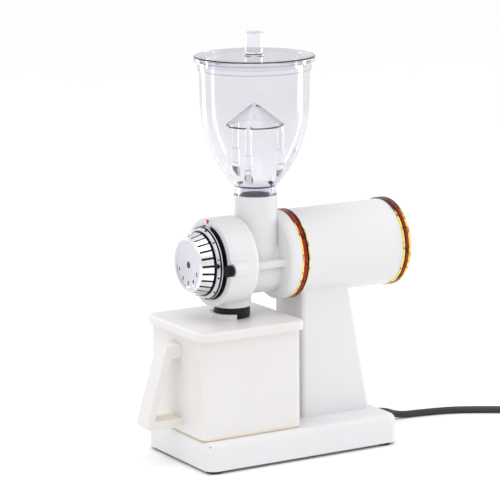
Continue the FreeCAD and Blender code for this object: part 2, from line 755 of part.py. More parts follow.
def make_grinder_body():
    """Grinding drum and feed housing, shaped together and parted just in front of the throat."""
    round_in = CASTING_ROUND * (1 - math.sqrt(0.5))
    body = turned_along_y("grinder_castings", [
        (dim("drum_front"), 0.0),
        (dim("drum_front"), dim("drum_radius")),
        (dim("drum_back", -CASTING_ROUND), dim("drum_radius")),
        (dim("drum_back"), dim("drum_radius", -CASTING_ROUND)),
        (dim("drum_back"), NECK_RADIUS),
        (dim("bell_front"), NECK_RADIUS),
        (dim("bell_front"), 0.0),
    ], rounds={2: (DIMS["drum_back"] - round_in, DIMS["drum_radius"] - round_in)})
    axis = DIMS["axis_height"]

    rib = new_sketch(body, "XY_Plane", -6.0)
    outline(rib, frame_of(-27.0, dim("drum_back", -4.0), 27.0, dim("bell_front")))
    extrude(body, "Pad", rib, 6.0)
    lower = new_sketch(body, "XZ_Plane", dim("bell_front", times=-1))
    circle(lower, 0.0, -12.0, 21.0)
    extrude(body, "Pad", lower, 35.0)
    throat = new_sketch(body, "XY_Plane", -8.0)
    circle(throat, 0.0, dim("throat_y"), dim("throat_outer"))
    extrude(body, "Pad", throat, dim("throat_top", 8.0 - axis))
    bearing_room = new_sketch(body, "XZ_Plane", dim("bell_front", times=-1))
    outline(bearing_room, frame_of(-25.0, -10.0, 25.0, BELL_RECESS_START))
    extrude(body, "Pocket", bearing_room, 10.0)
    spout = new_sketch(body, "XY_Plane", dim("sleeve_top", -axis))
    circle(spout, 0.0, dim("spout_y"), dim("sleeve_outer", 1.1))
    extrude(body, "Pad", spout, 18.0)
    add_lugs(body, 8.0, reverse=True)

    inside = new_sketch(body, "YZ_Plane")
    outline(inside, [
        (dim("drum_front", -2.0), 0.0),
        (dim("drum_front", -2.0), dim("chamber_radius")),
        (dim("burr_seat"), dim("chamber_radius")),
        (dim("burr_seat"), dim("feed_bore")),
        (-1.0, dim("feed_bore")),
        (-1.0, dim("shaft_radius", 1.0)),
        (dim("bell_front", 1.0), dim("shaft_radius", 1.0)),
        (dim("bell_front", 1.0), 0.0),
    ])
    spin(body, "Groove", inside, "H_Axis")

    bore = new_sketch(body, "XY_Plane", 32.0)
    circle(bore, 0.0, dim("throat_y"), dim("throat_bore"))
    extrude(body, "Pocket", bore, 40.0, reverse=True)
    chute = new_sketch(body, "XY_Plane", 0.0)
    circle(chute, 0.0, dim("throat_y"), 11.0)
    extrude(body, "Pocket", chute, 40.0, reverse=True)
    outlet = new_sketch(body, "XY_Plane", -42.0)
    circle(outlet, 0.0, dim("spout_y"), dim("sleeve_bore"))
    extrude(body, "Pocket", outlet, 14.0, reverse=True)
    seat = new_sketch(body, "XY_Plane", -42.0)
    circle(seat, 0.0, dim("spout_y"), dim("sleeve_bore", 1.5))
    extrude(body, "Pocket", seat, 6.0, reverse=True)

    screws = new_sketch(body, "XZ_Plane", dim("drum_front", 1.0, -1))
    for side in (-1, 1):
        circle(screws, side * DIMS["thumb_x"], 0.0, 2.05)
    extrude(body, "Pocket", screws, 8.5)
    burr_holes = new_sketch(body, "XZ_Plane", dim("burr_seat", 1.0, -1))
    for x, z in screw_places():
        circle(burr_holes, x, z, 1.55)
    extrude(body, "Pocket", burr_holes, 4.2)

    del finished["grinder_castings"]
    ahead = block("drum_space", (160.0, 100.0, 200.0), -80.0, dim("throat_y", -20.0 - 100.0), 100.0)
    drum = doc.addObject("Part::Common", "grinding_drum")
    drum.Base = body
    drum.Tool = ahead
    finish("grinding_drum", drum)
    finish("feed_housing", remove("feed_housing", body, ahead))


def make_front_bell():
    """End shield of the motor: it carries the front bearing and the grinding head."""
    bell = turned_along_y("motor_front_bell", [
        (dim("bell_front"), dim("shaft_radius", 1.0)),
        (dim("bell_front"), dim("bell_radius", -BELL_ROUND)),
        (dim("bell_front", BELL_ROUND), dim("bell_radius")),
        (dim("tube_front"), dim("bell_radius")),
        (dim("tube_front"), dim("tube_inner", -0.1)),
        (BELL_SPIGOT_END, dim("tube_inner", -0.1)),
        (BELL_SPIGOT_END, dim("tube_inner", -4.5)),
        (BEARING_FRONT + 7.2, dim("tube_inner", -4.5)),
        (BEARING_FRONT + 7.2, dim("bearing_outer")),
        (BEARING_FRONT, dim("bearing_outer")),
        (BEARING_FRONT, dim("shaft_radius", 1.0)),
    ], rounds={1: (
        DIMS["bell_front"] + BELL_ROUND * (1 - math.sqrt(0.5)),
        DIMS["bell_radius"] - BELL_ROUND * (1 - math.sqrt(0.5)),
    )})
    recess = new_sketch(bell, "XY_Plane", BELL_RECESS_START)
    circle(recess, 0.0, dim("throat_y"), dim("throat_outer", 0.05))
    extrude(bell, "Pocket", recess, 50.0, reverse=True)


def make_front_plate():
    """Flange that closes the chamber, its two screws, pointer tab and black recess ring."""
    plate = turned_along_y("front_plate", [
        (dim("drum_front"), 6.0),
        (dim("drum_front"), dim("drum_radius")),
        (dim("plate_front"), dim("drum_radius")),
        (dim("plate_front"), dim("recess_radius")),
        (dim("plate_front", RECESS_DEPTH), dim("recess_radius")),
        (dim("plate_front", RECESS_DEPTH), 6.0),
    ])
    add_lugs(plate, 5.0)
    holes = new_sketch(plate, "XZ_Plane", dim("plate_front", 1.0, -1))
    for side in (-1, 1):
        circle(holes, side * DIMS["thumb_x"], 0.0, 2.05)
    extrude(plate, "Pocket", holes, 8.0)

    grip_circle = 5.7
    knob = turned_at_lug("thumbscrew", 1, [
        (-7.6, 0.0), (-7.6, 4.4), (-6.8, 5.2), (-1.4, 5.2), (-1.4, 3.2), (-0.1, 3.2), (-0.1, 2.0),
        (11.0, 2.0), (11.0, 0.0),
    ])
    grips = new_sketch(knob, "XZ_Plane", 12.0)
    for notch in range(GRIP_COUNT):
        angle = 2 * math.pi * (notch + 0.5) / GRIP_COUNT
        circle(grips, grip_circle * math.cos(angle), grip_circle * math.sin(angle), 1.1)
    extrude(knob, "Pocket", grips, 11.0)

    screw = turned_at_lug("front_plate_screw", -1, [
        (-2.4, 0.0), (-2.4, 3.2), (-1.6, 4.2), (-0.05, 4.2), (-0.05, 2.0), (11.0, 2.0), (11.0, 0.0),
    ])
    slot = new_sketch(screw, "XZ_Plane", 3.0)
    outline(slot, frame_of(-5.0, -0.5, 5.0, 0.5))
    extrude(screw, "Pocket", slot, 1.6)

    turned_along_y("dial_recess_ring", ring_corners(
        dim("plate_front", 0.5), dim("plate_front", RECESS_DEPTH), 20.0, dim("recess_radius", -0.1)))
    tab = new_body("pointer_tab", z=dim("axis_height"))
    face = new_sketch(tab, "XZ_Plane", dim("plate_front", times=-1))
    outline(face, [(-3.6, 30.0), (3.6, 30.0), (4.8, 39.6), (-4.8, 39.6)])
    extrude(tab, "Pad", face, 0.7)


def turned_at_lug(label, side, corners):
    """Screw in one of the flange's lugs, turned about its own axis from the flange's front."""
    front = DIMS["plate_front"]
    body = new_body(label, x=side * DIMS["thumb_x"], y=front, z=dim("axis_height"))
    sk = new_sketch(body, "YZ_Plane")
    outline(sk, corners)
    spin(body, "Revolution", sk, "H_Axis")
    return body


BURR_SCREW_CIRCLE = 24.0
BURR_SCREW_ANGLES = (90, 210, 330)


def screw_places():
    """Centres of the three burr screws, seen from the front, about the motor axis."""
    for degrees in BURR_SCREW_ANGLES:
        angle = math.radians(degrees)
        yield BURR_SCREW_CIRCLE * math.cos(angle), BURR_SCREW_CIRCLE * math.sin(angle)


def cut_burr(burr, face, toward_back):
    """Cutting grooves, sunk screw seats and screw holes in a burr's working face."""
    outside = -face + (1.0 if toward_back else -1.0)
    teeth = new_sketch(burr, "XZ_Plane", outside)
    near = 17.0
    far = 31.0
    lean = 3.0
    for tooth in range(18):
        angle = 2 * math.pi * tooth / 18
        ux = math.cos(angle)
        uz = math.sin(angle)
        outline(teeth, [
            (near * ux + lean * uz, near * uz - lean * ux),
            (far * ux + (lean - 0.9) * uz, far * uz - (lean - 0.9) * ux),
            (far * ux + (lean + 0.9) * uz, far * uz - (lean + 0.9) * ux),
            (near * ux + (lean + 0.8) * uz, near * uz - (lean + 0.8) * ux),
        ])
    extrude(burr, "Pocket", teeth, 2.2, reverse=not toward_back)
    seats = new_sketch(burr, "XZ_Plane", outside)
    holes = new_sketch(burr, "XZ_Plane", outside)
    for x, z in screw_places():
        circle(seats, x, z, 2.7)
        circle(holes, x, z, 1.55)
    extrude(burr, "Pocket", seats, 4.2, reverse=not toward_back)
    extrude(burr, "Pocket", holes, 12.0, reverse=not toward_back)


def burr_screws(label, head_start, shank_start, shank_length):
    """Three flat screws that hold a burr."""
    screws = []
    for index, (x, height) in enumerate(screw_places()):
        z = DIMS["axis_height"] + height
        shank = rod("%s_shank_%d" % (label, index), 1.5, shank_length, x, shank_start, z, "Y")
        head = rod("%s_head_%d" % (label, index), 2.6, 1.8, x, head_start, z, "Y")
        slot = block("%s_slot_%d" % (label, index), (4.0, 0.8, 0.8), x - 2.0, head_start - 0.4, z - 0.4)
        solid = join("%s_solid_%d" % (label, index), [shank, head])
        screws.append(remove("%s_%d" % (label, index), solid, slot))
    finish(label, group(label, screws))


def make_burrs():
    """Stationary burr, rotating burr and carrier with their screws."""
    face = DIMS["burr_face"]
    stationary = turned_along_y("stationary_burr", [
        (dim("burr_seat"), dim("burr_inner")),
        (dim("burr_face"), dim("burr_inner", 3.0)),
        (dim("burr_face"), dim("burr_outer")),
        (dim("burr_seat"), dim("burr_outer")),
    ])
    cut_burr(stationary, face, True)
    burr_screws("stationary_burr_screws", -41.0, -39.2, 7.0)

    gap = DIMS["burr_gap"]
    thickness = DIMS["burr_thickness"]
    rotating = turned_along_y("rotating_burr", [
        (dim("burr_face", -gap - thickness), 9.1),
        (dim("burr_face", -gap), 18.0),
        (dim("burr_face", -gap), dim("burr_outer")),
        (dim("burr_face", -gap - thickness), dim("burr_outer")),
    ])
    cut_burr(rotating, face - gap, False)
    burr_screws("rotating_burr_screws", -45.6, -53.6, 8.0)

    running = dim("shaft_radius", 0.05)
    carrier = turned_along_y("burr_carrier", [
        (-54.1, 2.3),
        (-54.1, 29.0),
        (dim("burr_face", -gap - thickness), 29.0),
        (dim("burr_face", -gap - thickness), 9.0),
        (-44.0, 8.0),
        (-44.0, running),
        (-52.0, running),
        (-52.0, 0.0),
        (-53.05, 0.0),
        (-53.05, 2.3),
    ])
    holes = new_sketch(carrier, "XZ_Plane", 56.0)
    for x, z in screw_places():
        circle(holes, x, z, 1.55)
    extrude(carrier, "Pocket", holes, 8.0)


def make_adjuster():
    """Coil spring behind the carrier, thrust ball and the screw that the dial drives."""
    spring = doc.addObject("Part::Feature", "burr_spring")
    height = 11.6
    radius = 6.4
    helix = Part.makeHelix(2.9, height, radius)
    wire = Part.Wire(helix.Edges)
    section = Part.Wire(Part.makeCircle(0.6, FreeCAD.Vector(radius, 0, 0), FreeCAD.Vector(0, 1, 0)))
    coil = wire.makePipeShell([section], True, True)
    coil.rotate(FreeCAD.Vector(0, 0, 0), FreeCAD.Vector(1, 0, 0), -90)
    coil.translate(FreeCAD.Vector(0, -43.3, DIMS["axis_height"]))
    spring.Shape = coil
    finish("burr_spring", spring)

    ball = doc.addObject("Part::Sphere", "thrust_ball")
    ball.Radius = 2.5
    place(ball, 0.0, -55.6, dim("axis_height"))
    finish("thrust_ball", ball)

    turned_along_y("adjusting_screw", [
        (-57.2, 2.3), (-57.2, 5.0), (-58.0, 5.9), (-64.8, 5.9), (-64.8, 4.5), (-78.0, 4.5), (-78.0, 0.0),
        (-58.15, 0.0), (-58.15, 2.3),
    ])


FLUTE_COUNT = 24
FLUTE_START = 10.0
FLUTE_RADIUS = 1.1


def cut_flutes(knob):
    """Flutes along the knob's conical side, and the fluted knob as the finished piece."""
    front = FreeCAD.Vector(0, DIMS["dial_front"] + 1.8, DIMS["dial_front_radius"] + 0.35)
    back = FreeCAD.Vector(0, DIMS["dial_back"] - 1.0, DIMS["dial_back_radius"] + 0.15)
    along = back - front
    lean = FreeCAD.Rotation(FreeCAD.Vector(0, 0, 1), along)
    cutters = []
    for flute in range(FLUTE_COUNT):
        angle = FLUTE_START + 360.0 * flute / FLUTE_COUNT
        turn = FreeCAD.Rotation(FreeCAD.Vector(0, 1, 0), angle)
        cutter = doc.addObject("Part::Cylinder", "flute_%d" % flute)
        cutter.Radius = FLUTE_RADIUS
        cutter.Height = along.Length
        start = turn.multVec(front)
        place(cutter, start.x, start.y, dim("axis_height", start.z), turn.multiply(lean))
        cutters.append(cutter)
    finish("dial_knob", remove("fluted_knob", knob, group("flute_cutters", cutters)))


def make_dial():
    """Fluted knob, its central screw and the scale ring behind it."""
    screw = turned_along_y("dial_screw", [
        (dim("dial_front", 1.1), 0.0),
        (dim("dial_front", 1.1), 2.4),
        (dim("dial_front", 1.5), 3.0),
        (dim("dial_front", 2.4), 3.0),
        (dim("dial_front", 2.4), 1.5),
        (dim("dial_front", 4.4), 1.5),
        (dim("dial_front", 4.4), 0.0),
    ])
    slot = new_sketch(screw, "XZ_Plane", dim("dial_front", 0.5, -1))
    outline(slot, frame_of(-3.5, -0.5, 3.5, 0.5))
    extrude(screw, "Pocket", slot, 2.0)

    knob = turned_along_y("dial_knob_blank", [
        (dim("dial_front", 2.45), 1.6),
        (dim("dial_front", 2.45), 3.2),
        (dim("dial_front", 1.6), 3.2),
        (dim("dial_front", 1.6), 8.0),
        (dim("dial_front", 0.9), 19.5),
        (dim("dial_front"), 20.5),
        (dim("dial_front"), dim("dial_front_radius", -1.4)),
        (dim("dial_front", 1.4), dim("dial_front_radius")),
        (dim("dial_back"), dim("dial_back_radius")),
        (dim("dial_back"), 24.0),
        (dim("dial_front", 4.0), 21.0),
        (dim("dial_front", 4.0), 7.5),
        (dim("dial_back"), 7.5),
        (dim("dial_back"), 4.55),
        (dim("dial_front", 4.5), 4.55),
        (dim("dial_front", 4.5), 2.1),
        (dim("dial_front", 3.0), 2.1),
        (dim("dial_front", 3.0), 1.6),
    ])
    del finished["dial_knob_blank"]
    cut_flutes(knob)

    scale = dim("scale_radius")
    turned_along_y("dial_scale_ring", [
        (dim("dial_back"), 4.55),
        (dim("dial_back"), 24.0),
        (dim("dial_back", 0.8), 24.0),
        (dim("dial_back", 0.8), 29.0),
        (dim("dial_back", 1.2), 31.6),
        (dim("dial_back", 3.0), 32.2),
        (dim("dial_back", 3.0), 30.5),
        (dim("dial_back", 3.8), 30.5),
        (dim("dial_back", 3.8), scale),
        (dim("dial_back", 5.2), scale),
        (dim("dial_back", 5.2), 4.55),
    ])


# ---- hopper -------------------------------------------------------------------------------

GUARD_LEG_ANGLES = (76.0, 196.0, 316.0)


def leg_places():
    """Centres of the three guard legs, about the hopper axis."""
    ring = DIMS["guard_leg_circle"]
    for degrees in GUARD_LEG_ANGLES:
        angle = math.radians(degrees)
        yield ring * math.cos(angle), ring * math.sin(angle)


def make_hopper():
    """Clear bowl with its neck and leg sockets, the lid, and the bean guard."""
    y = dim("throat_y")
    wall = DIMS["bowl_wall"]
    neck = 13.9
    turned_upright("hopper_bowl", [
        (neck, 222.0),
        (dim("throat_bore", -0.1), 222.0),
        (dim("throat_bore", -0.1), dim("throat_top", 0.1)),
        (18.9, dim("throat_top", 0.1)),
        (18.9, 245.5),
        (dim("bowl_radius", -0.6), 318.0),
        (dim("bowl_radius"), dim("bowl_top", -7.5)),
        (dim("bowl_skirt_radius"), dim("bowl_top", -7.5)),
        (dim("bowl_skirt_radius"), dim("bowl_top")),
        (dim("bowl_radius", -wall), dim("bowl_top")),
        (dim("bowl_radius", -0.6 - wall), 318.0),
        (17.4, 248.0),
        (neck, 245.5),
    ], y, rounds={4: (36.5, 270.6), 10: (34.6, 271.8)})

    top = dim("lid_top")
    turned_upright("hopper_lid", [
        (0.0, dim("lid_top", -2.4)),
        (dim("bowl_radius", -7.0), dim("lid_top", -2.4)),
        (dim("bowl_radius", -7.0), dim("bowl_top", -4.0)),
        (dim("bowl_radius", -4.6), dim("bowl_top", -4.0)),
        (dim("bowl_radius", -4.6), dim("lid_top", -2.4)),
        (dim("lid_radius", -2.2), dim("lid_top", -2.4)),
        (dim("lid_radius", -2.2), dim("bowl_top", 0.1)),
        (dim("lid_radius"), dim("bowl_top", 0.1)),
        (dim("lid_radius"), dim("lid_top", -1.0)),
        (dim("lid_radius", -1.0), top),
        (dim("lid_knob_radius", 1.3), top),
        (dim("lid_knob_radius", 0.2), dim("lid_top", 1.5)),
        (dim("lid_knob_radius"), dim("total_height", -1.2)),
        (dim("lid_knob_radius", -1.2), dim("total_height")),
        (0.0, dim("total_height")),
    ], y)

    guard = turned_upright("bean_guard", [
        (dim("guard_radius", -2.6), dim("guard_base")),
        (dim("guard_radius"), dim("guard_base")),
        (dim("guard_radius"), dim("guard_base", 1.2)),
        (0.8, dim("guard_apex")),
        (0.0, dim("guard_apex")),
        (0.0, dim("guard_apex", -2.4)),
    ], y)
    for start, length, radius in ((264.0, 37.4, 2.9), (264.0, 13.0, 3.9)):
        legs = new_sketch(guard, "XY_Plane", start)
        for x, across in leg_places():
            circle(legs, x, across, radius)
        extrude(guard, "Pad", legs, length)


# ---- grounds bin --------------------------------------------------------------------------

COLLAR_HALF_ANGLE = 72.3
COLLAR_INNER = 17.4
COLLAR_OUTER = 20.4


def make_bin():
    """Box, lid with the outlet collar, handle and its screws."""
    half = dim("bin_half_width")
    body = new_body("grounds_bin")
    sk = new_sketch(body, "XY_Plane", dim("bin_bottom"))
    outline(sk, frame_of(dim("bin_half_width", times=-1), dim("bin_front"), half, dim("bin_back")))
    box = extrude(body, "Pad", sk, dim("bin_top", -DIMS["bin_bottom"]))
    dress(body, "Fillet", box, edges_where(box.Shape, upright), 7.0)
    wall = DIMS["bin_wall"]
    sk = new_sketch(body, "XY_Plane", dim("bin_top"))
    outline(sk, frame_of(
        dim("bin_half_width", wall, -1),
        dim("bin_front", wall),
        dim("bin_half_width", -wall),
        dim("bin_back", -wall),
    ))
    cavity = extrude(body, "Pocket", sk, dim("bin_top", -DIMS["bin_bottom"] - wall))
    inner_x = DIMS["bin_half_width"] - wall

    def inner_corner(a, b):
        inside = DIMS["bin_front"] + 1 < a.y < DIMS["bin_back"] - 1
        return inside and upright(a, b) and abs(abs(a.x) - inner_x) < 1e-3
    dress(body, "Fillet", cavity, edges_where(cavity.Shape, inner_corner), 4.5)

    lid = new_body("bin_lid")
    sk = new_sketch(lid, "XY_Plane", dim("binlid_bottom"))
    outline(sk, frame_of(
        dim("binlid_half_width", times=-1),
        dim("binlid_front"),
        dim("binlid_half_width"),
        dim("binlid_back"),
    ))
    slab = extrude(lid, "Pad", sk, dim("binlid_top", -DIMS["binlid_bottom"]))
    corners = dress(lid, "Fillet", slab, edges_where(slab.Shape, upright), 10.0)
    level = DIMS["binlid_top"]
    rim = [
        "Edge%d" % i
        for i, edge in enumerate(corners.Shape.Edges, start=1)
        if all(abs(v.Z - level) < 1e-4 for v in edge.Vertexes)
    ]
    dress(lid, "Fillet", corners, rim, 2.6)
    sk = new_sketch(lid, "XY_Plane", dim("binlid_bottom"))
    gap = 0.1
    outline(sk, frame_of(
        dim("bin_half_width", -gap, -1),
        dim("bin_front", -gap),
        dim("bin_half_width", gap),
        dim("bin_back", gap),
    ))
    extrude(lid, "Pocket", sk, 4.9, reverse=True)
    hole = new_sketch(lid, "XY_Plane", dim("binlid_top", 1.0))
    circle(hole, 0.0, dim("spout_y"), 15.0)
    extrude(lid, "Pocket", hole, 8.0)
    collar = new_sketch(lid, "XY_Plane", dim("binlid_top", -0.5))
    collar_outline(collar)
    extrude(lid, "Pad", collar, 5.5)

    handle = new_body("bin_handle")
    side = new_sketch(handle, "YZ_Plane")
    front = DIMS["bin_front"]
    outline(side, [
        (dim("bin_front"), 110.5), (dim("bin_front", -15.0), 110.5), (dim("bin_front", -36.0), 42.0),
        (dim("bin_front", -36.5), 38.0), (dim("bin_front", -33.0), 35.0), (dim("bin_front"), 35.0),
    ])
    extrude(handle, "Pad", side, dim("handle_half_width", times=2), midplane=True)
    window = new_sketch(handle, "YZ_Plane")
    outline(window, [
        (dim("bin_front", 1.0), 98.5), (dim("bin_front", -11.5), 98.5), (dim("bin_front", -28.5), 43.0),
        (dim("bin_front", 1.0), 43.0),
    ])
    extrude(handle, "Pocket", window, 30.0, midplane=True)
    holes = new_sketch(handle, "XZ_Plane", -front - 1.0)
    wall_holes = new_sketch(body, "XZ_Plane", -front + 1.0)
    screws = []
    for index, height in enumerate((39.0, 104.5)):
        circle(holes, 0.0, height, 1.6)
        circle(wall_holes, 0.0, height, 1.6)
        shank = rod("handle_screw_shank_%d" % index, 1.5, 9.5, 0.0, front - 7.0, height, "Y")
        head = rod("handle_screw_head_%d" % index, 3.0, 1.5, 0.0, front + 2.5, height, "Y")
        screws.append(join("handle_screw_%d" % index, [shank, head]))
    extrude(handle, "Pocket", holes, 9.0, reverse=True)
    extrude(body, "Pocket", wall_holes, 6.0)
    finish("bin_handle_screws", group("bin_handle_screws", screws))


def collar_outline(sk):
    """C-shaped outline round the outlet, open toward the pedestal."""
    centre = FreeCAD.Vector(0, DIMS["spout_y"], 0)

    def point(radius, degrees):
        angle = math.radians(degrees)
        return centre + FreeCAD.Vector(radius * math.cos(angle), radius * math.sin(angle), 0)
    start = -90.0 - COLLAR_HALF_ANGLE
    end = -90.0 + COLLAR_HALF_ANGLE
    corners = [
        point(COLLAR_OUTER, start),
        point(COLLAR_OUTER, end),
        point(COLLAR_INNER, end),
        point(COLLAR_INNER, start),
    ]
    outer_middle = point(COLLAR_OUTER, -90.0)
    inner_middle = point(COLLAR_INNER, -90.0)
    rounds = {0: (outer_middle.x, outer_middle.y), 2: (inner_middle.x, inner_middle.y)}
    outline(sk, [(corner.x, corner.y) for corner in corners], rounds)


def make_outlet_sleeve():
    """Black sleeve pressed into the spout boss."""
    turned_upright("outlet_sleeve", [
        (dim("sleeve_bore"), dim("sleeve_bottom")),
        (dim("sleeve_outer", -0.8), dim("sleeve_bottom")),
        (dim("sleeve_outer"), dim("sleeve_bottom", 0.8)),
        (dim("sleeve_outer"), dim("sleeve_top")),
        (dim("sleeve_bore", 1.4), dim("sleeve_top")),
        (dim("sleeve_bore", 1.4), dim("sleeve_top", 5.0)),
        (dim("sleeve_bore"), dim("sleeve_top", 5.0)),
    ], dim("spout_y"))


# ---- power cord ---------------------------------------------------------------------------

FLOOR = DIMS["cord_radius"]
COIL_TOP = 12.3
CORD_ROUTE = [
    (DIMS["cord_exit_x"], 106.0, DIMS["cord_exit_z"]),
    (DIMS["cord_exit_x"], 136.0, DIMS["cord_exit_z"]),
    (-18.8, 155.0, FLOOR),
    (-15.0, 182.0, FLOOR),
    (-7.5, 212.0, FLOOR),
    (7.5, 238.0, FLOOR),
    (25.5, 264.0, FLOOR),
    (37.0, 283.0, FLOOR),
]


def rounded_path(points):
    """Straight runs joined by tangent arcs, and the arcs' radii."""
    corners = [FreeCAD.Vector(*point) for point in points]
    edges = []
    radii = []
    here = corners[0]
    for before, corner, after in zip(corners, corners[1:], corners[2:]):
        incoming = corner - before
        outgoing = after - corner
        turn = incoming.getAngle(outgoing)
        setback = 0.45 * min(incoming.Length, outgoing.Length)
        radius = setback / math.tan(turn / 2)
        into = incoming.normalize()
        out = outgoing.normalize()
        start = corner - into * setback
        end = corner + out * setback
        inward = (out - into).normalize()
        middle = corner + inward * (radius / math.cos(turn / 2) - radius)
        edges.append(Part.LineSegment(here, start).toShape())
        edges.append(Part.Arc(start, middle, end).toShape())
        radii.append(radius)
        here = end
    edges.append(Part.LineSegment(here, corners[-1]).toShape())
    return Part.Wire(edges), radii


def make_cord():
    """Free cord: a tube to the coil, the coil's outer shape, and the mains plug."""
    path, radii = rounded_path(CORD_ROUTE)
    start = FreeCAD.Vector(*CORD_ROUTE[0])
    section = Part.Wire(Part.makeCircle(DIMS["cord_radius"], start, FreeCAD.Vector(0, 1, 0)))
    cord = doc.addObject("Part::Feature", "power_cord")
    cord.Shape = path.makePipeShell([section], True, False)
    finish("power_cord", cord)
    expected = math.pi * DIMS["cord_radius"] ** 2 * path.Length
    print("cord radii", [round(r, 1) for r in radii])
    print("cord length", round(path.Length, 1), "volume ratio", round(cord.Shape.Volume / expected, 4))

    inner = dim("coil_inner")
    outer = dim("coil_outer")
    layer = 2 * DIMS["cord_radius"]
    shrink = DIMS["cord_radius"]
    turned_upright("power_cord_coil", [
        (inner, 0.0),
        (outer, 0.0),
        (outer, layer),
        (dim("coil_outer", -shrink), COIL_TOP),
        (dim("coil_inner", shrink), COIL_TOP),
        (inner, layer),
    ], dim("coil_y"), dim("coil_x"))

    make_plug()


PLUG_AXIS = 8.0
PLUG_LEAD = 32.0
PLUG_ACROSS = 39.8
PLUG_LENGTH = 34.0
PLUG_ROUND = 5.0
PLUG_PIN_HALF_PITCH = 9.5


def make_plug():
    """Two-pin plug beside the coil, its pins towards -X."""
    y = DIMS["coil_y"] + PLUG_ACROSS
    start = DIMS["coil_x"] - PLUG_LEAD
    relief = cone("plug_relief", 5.8, 4.2, 24.0, start - 24.0, y, PLUG_AXIS, "X")
    body = block("plug_block", (PLUG_LENGTH, 35.0, 15.6), start - 56.0, y - 17.5, 0.2)
    rounded = doc.addObject("Part::Fillet", "plug_rounded")
    rounded.Base = body
    doc.recompute()
    rounded.Edges = [
        (i, PLUG_ROUND, PLUG_ROUND)
        for i, edge in enumerate(body.Shape.Edges, start=1)
        if abs(edge.BoundBox.XLength - PLUG_LENGTH) < 1e-3
    ]
    nose = block("plug_nose", (4.0, 26.0, 13.0), start - 59.0, y - 13.0, 1.5)
    pins = [
        rod("plug_pin_%d" % i, 2.4, 19.0, start - 78.0, y + PLUG_PIN_HALF_PITCH * side, PLUG_AXIS, "X")
        for i, side in enumerate((-1, 1))
    ]
    bore = rod("plug_bore", dim("cord_radius"), 8.0, start - 8.0, y, PLUG_AXIS, "X")
    finish("mains_plug", remove("mains_plug", join("plug_solid", [relief, rounded, nose] + pins), bore))


make_stand()
make_bottom()
make_electrics()
make_cord_grip()
make_motor_shell()
make_stator()
make_rotor()
make_motor_mounting()
make_grinder_body()
make_front_bell()
make_front_plate()
make_burrs()
make_adjuster()
make_dial()
make_hopper()
make_outlet_sleeve()
make_bin()
make_cord()
doc.recompute()

for label, item in finished.items():
    shape = item.Shape
    state = " ".join(item.State)
    if "Invalid" in state or "Error" in state or shape.isNull() or not shape.isValid():
        raise RuntimeError("%s is not a valid shape: %s" % (label, state))
    shape.exportStep("parts/%s.step" % label)
    box = shape.BoundBox
    size = (shape.Volume / 1000, len(shape.Solids), box.ZMin, box.ZMax)
    print("%-24s" % label, "%8.2f cm3  solids %d  z %.1f to %.1f" % size)
print(len(finished), "pieces")
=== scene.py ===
"""Burr coffee grinder: its looks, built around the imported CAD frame.

+Z is up, the dial faces -Y and the motor points to +Y. Lengths in tables are millimetres, times MM.
"""

import json
import math

import bmesh
import bpy
from mathutils import Matrix, Quaternion, Vector


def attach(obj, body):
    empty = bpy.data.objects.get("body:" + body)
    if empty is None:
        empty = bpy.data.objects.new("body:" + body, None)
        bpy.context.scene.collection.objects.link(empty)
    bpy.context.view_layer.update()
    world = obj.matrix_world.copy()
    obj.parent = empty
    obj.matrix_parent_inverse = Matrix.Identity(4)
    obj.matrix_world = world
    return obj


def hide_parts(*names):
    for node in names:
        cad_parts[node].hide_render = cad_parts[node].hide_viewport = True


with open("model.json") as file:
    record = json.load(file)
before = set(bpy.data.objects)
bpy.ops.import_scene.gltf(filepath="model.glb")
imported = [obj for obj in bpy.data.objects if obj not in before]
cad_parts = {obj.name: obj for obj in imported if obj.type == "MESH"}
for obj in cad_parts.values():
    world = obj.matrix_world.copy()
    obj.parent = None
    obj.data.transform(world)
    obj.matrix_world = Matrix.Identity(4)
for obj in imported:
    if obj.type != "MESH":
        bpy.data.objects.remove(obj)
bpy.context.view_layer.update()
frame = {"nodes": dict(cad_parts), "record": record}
NODES = frame["nodes"]
MM = 0.001
AXIS = 180.0 * MM
THROAT_Y = -12.5


# ---- camera ---------------------------------------------------------------------------------

def make_camera():
    """Long lens, a little above the machine, to the right of its dial."""
    azimuth = math.radians(59.415)
    elevation = math.radians(11.36)
    roll = math.radians(-0.459)
    distance = 2.4292
    target = Vector((0.0, -0.0186, 0.1867))
    back = Vector((
        math.sin(azimuth) * math.cos(elevation),
        -math.cos(azimuth) * math.cos(elevation),
        math.sin(elevation),
    ))
    data = bpy.data.cameras.new("camera")
    data.sensor_width = 36.0
    data.lens = 193.13
    data.clip_start = 0.1
    data.clip_end = 50.0
    camera = bpy.data.objects.new("camera", data)
    bpy.context.scene.collection.objects.link(camera)
    camera.location = target + back * distance
    camera.rotation_mode = "QUATERNION"
    level = (-back).to_track_quat("-Z", "Y")
    camera.rotation_quaternion = level @ Quaternion((0.0, 0.0, 1.0), roll)
    bpy.context.scene.camera = camera


make_camera()


# ---- cord -----------------------------------------------------------------------------------

CORD_WIDTH = 6.6
CORD_RADIUS = CORD_WIDTH / 2 * MM
FLOOR_LINE = 3.3
UPPER_LINE = 9.0
CORD_ROUTE = [
    (-18.0, 106.0, 12.0),
    (-18.0, 136.0, 12.0),
    (-18.8, 155.0, FLOOR_LINE),
    (-15.0, 182.0, FLOOR_LINE),
    (-7.5, 212.0, FLOOR_LINE),
    (7.5, 238.0, FLOOR_LINE),
    (25.5, 264.0, FLOOR_LINE),
    (37.0, 283.0, FLOOR_LINE),
]
CORD_LEAD_IN = [(-7.0, 359.8, 8.6), (-23.0, 359.8, 8.0), (-38.0, 359.8, 8.0)]
COIL_CENTRE = (9.0, 320.0)
COIL_START = -31.2
COIL_END = 90.0
COIL_STEPS = 16
COIL_OUTER = 43.1
COIL_CHANGES = (0.75, 1.75, 2.75, 3.75)


